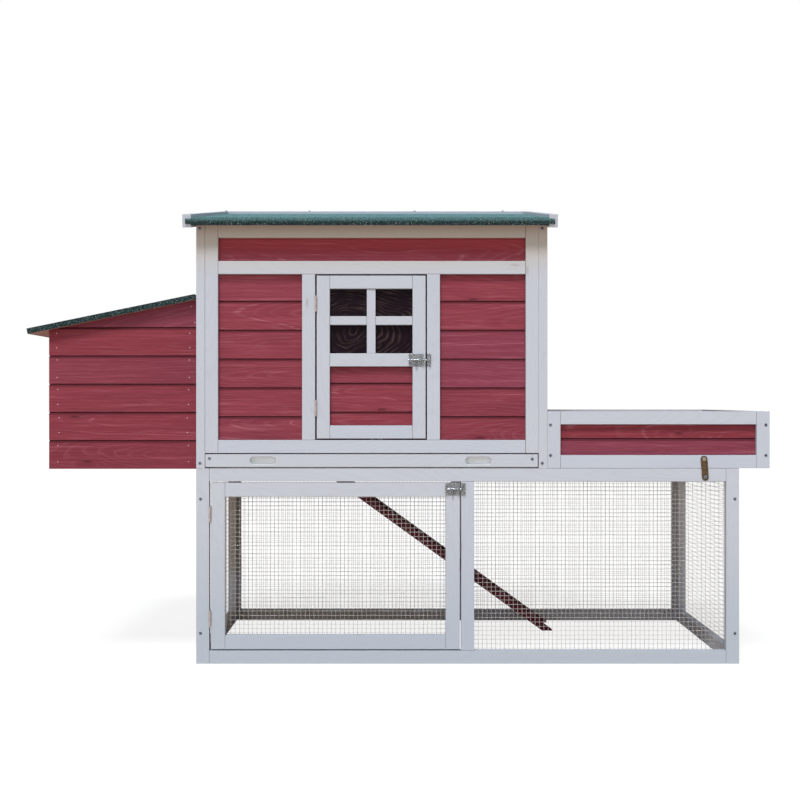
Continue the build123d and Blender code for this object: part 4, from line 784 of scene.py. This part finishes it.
def wire_panel(bm, low, high, dice):
    """Upright wires, with level wires welded across their backs, in a thin box."""
    size = high - low
    thin = 0 if size.x < size.y else 1
    wide = 1 - thin
    inset = WIRE_HALF_DEPTH * 1.01
    near, far = low[thin] + inset, high[thin] - inset
    for axis, depth in ((wide, near), (2, far)):
        count = int(size[axis] / WIRE_PITCH)
        margin = (size[axis] - count * WIRE_PITCH) / 2
        for number in range(count + 1):
            start, end = low.copy(), high.copy()
            start[axis] = end[axis] = low[axis] + margin + number * WIRE_PITCH
            start[thin] = end[thin] = depth
            add_wire(bm, start, end, thin, dice)


for node in WIRE_NODES:
    dice = random.Random(node)
    slabs = copied(node)
    bm = bmesh.new()
    for group in islands(slabs):
        wire_panel(bm, *extents(group), dice)
    slabs.free()
    mesh = smooth_mesh(bm, node + "_wires")
    new_piece(node + "_wires", mesh, node, WIRE)

# ---------------------------------------------------------------- floor, light and camera

FLOOR_REACH = 40.0
FLOOR_GLOW = 0.84
FLOOR_SEEN = (0.19, 0.19, 0.19, 1.0)
FLOOR_BOUNCE = (0.68, 0.58, 0.49, 1.0)
SKY_LIGHT = 0.42
SKY_COLOUR = (0.91, 0.96, 1.05, 1.0)
SUN_COLOUR = (0.98, 0.99, 1.0)
KEY_LIGHT = 2.7
KEY_SPREAD = math.radians(16)
KEY_HEIGHT = math.radians(57)
KEY_SIDE = math.radians(-12)
FILL_LIGHT = 0.42
FILL_SPREAD = math.radians(40)
FILL_HEIGHT = math.radians(14)
FILL_SIDE = math.radians(-22)
CAMERA_DISTANCE = 3.251
CAMERA_HEIGHT = 0.605
CAMERA_X = 0.0047
CAMERA_LENS = 63.77
CAMERA_SENSOR = 36.0


def pale_floor():
    """A plain pale floor that reaches past every view.

    The camera sees it glow a little, so that it stays pale in the shade below the coop, and it
    throws a warm light back up.
    """
    look = Shader("studio_floor")
    seen = look.add("ShaderNodeLightPath").outputs["Is Camera Ray"]
    look.put(look.mix(seen, FLOOR_BOUNCE, FLOOR_SEEN), look.surface.inputs["Base Color"])
    look.surface.inputs["Roughness"].default_value = 1.0
    look.surface.inputs["Specular IOR Level"].default_value = 0.0
    look.surface.inputs["Emission Color"].default_value = (1.0, 1.0, 1.0, 1.0)
    look.put(look.math("MULTIPLY", seen, FLOOR_GLOW), look.surface.inputs["Emission Strength"])
    bm = bmesh.new()
    bmesh.ops.create_grid(bm, x_segments=1, y_segments=1, size=FLOOR_REACH)
    mesh = bpy.data.meshes.new("studio_floor")
    bm.to_mesh(mesh)
    bm.free()
    mesh.materials.append(look.material)
    floor = bpy.data.objects.new("studio_floor", mesh)
    bpy.context.scene.collection.objects.link(floor)


def sun_light(name, power, spread, height, side):
    """A distant light of a given apparent width, from the front at a given height and side."""
    data = bpy.data.lights.new(name, "SUN")
    data.energy = power
    data.angle = spread
    data.color = SUN_COLOUR
    light = bpy.data.objects.new(name, data)
    light.rotation_euler = (math.radians(90) - height, 0, side)
    bpy.context.scene.collection.objects.link(light)


def studio():
    """A white surround, a soft light high in front that shades the wall below the eaves, and a low fill."""
    world = bpy.data.worlds.new("studio")
    world.use_nodes = True
    nodes, links = world.node_tree.nodes, world.node_tree.links
    around = nodes["Background"]
    around.inputs["Color"].default_value = SKY_COLOUR
    around.inputs["Strength"].default_value = SKY_LIGHT
    backdrop = nodes.new("ShaderNodeBackground")
    backdrop.inputs["Color"].default_value = (1.0, 1.0, 1.0, 1.0)
    backdrop.inputs["Strength"].default_value = 1.0
    seen = nodes.new("ShaderNodeLightPath")
    either = nodes.new("ShaderNodeMixShader")
    links.new(seen.outputs["Is Camera Ray"], either.inputs["Fac"])
    links.new(around.outputs[0], either.inputs[1])
    links.new(backdrop.outputs[0], either.inputs[2])
    links.new(either.outputs[0], nodes["World Output"].inputs["Surface"])
    bpy.context.scene.world = world
    sun_light("key_light", KEY_LIGHT, KEY_SPREAD, KEY_HEIGHT, KEY_SIDE)
    sun_light("low_fill_light", FILL_LIGHT, FILL_SPREAD, FILL_HEIGHT, FILL_SIDE)


pale_floor()
studio()
camera_data = bpy.data.cameras.new("camera")
camera_data.lens = CAMERA_LENS
camera_data.sensor_width = CAMERA_SENSOR
camera = bpy.data.objects.new("camera", camera_data)
front_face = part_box("run_front_frame")[0][1]
camera.location = (CAMERA_X, front_face - CAMERA_DISTANCE, CAMERA_HEIGHT)
camera.rotation_euler = (math.radians(90), 0, 0)
bpy.context.scene.collection.objects.link(camera)
bpy.context.scene.camera = camera

scene = bpy.context.scene
scene.view_settings.view_transform = "Standard"
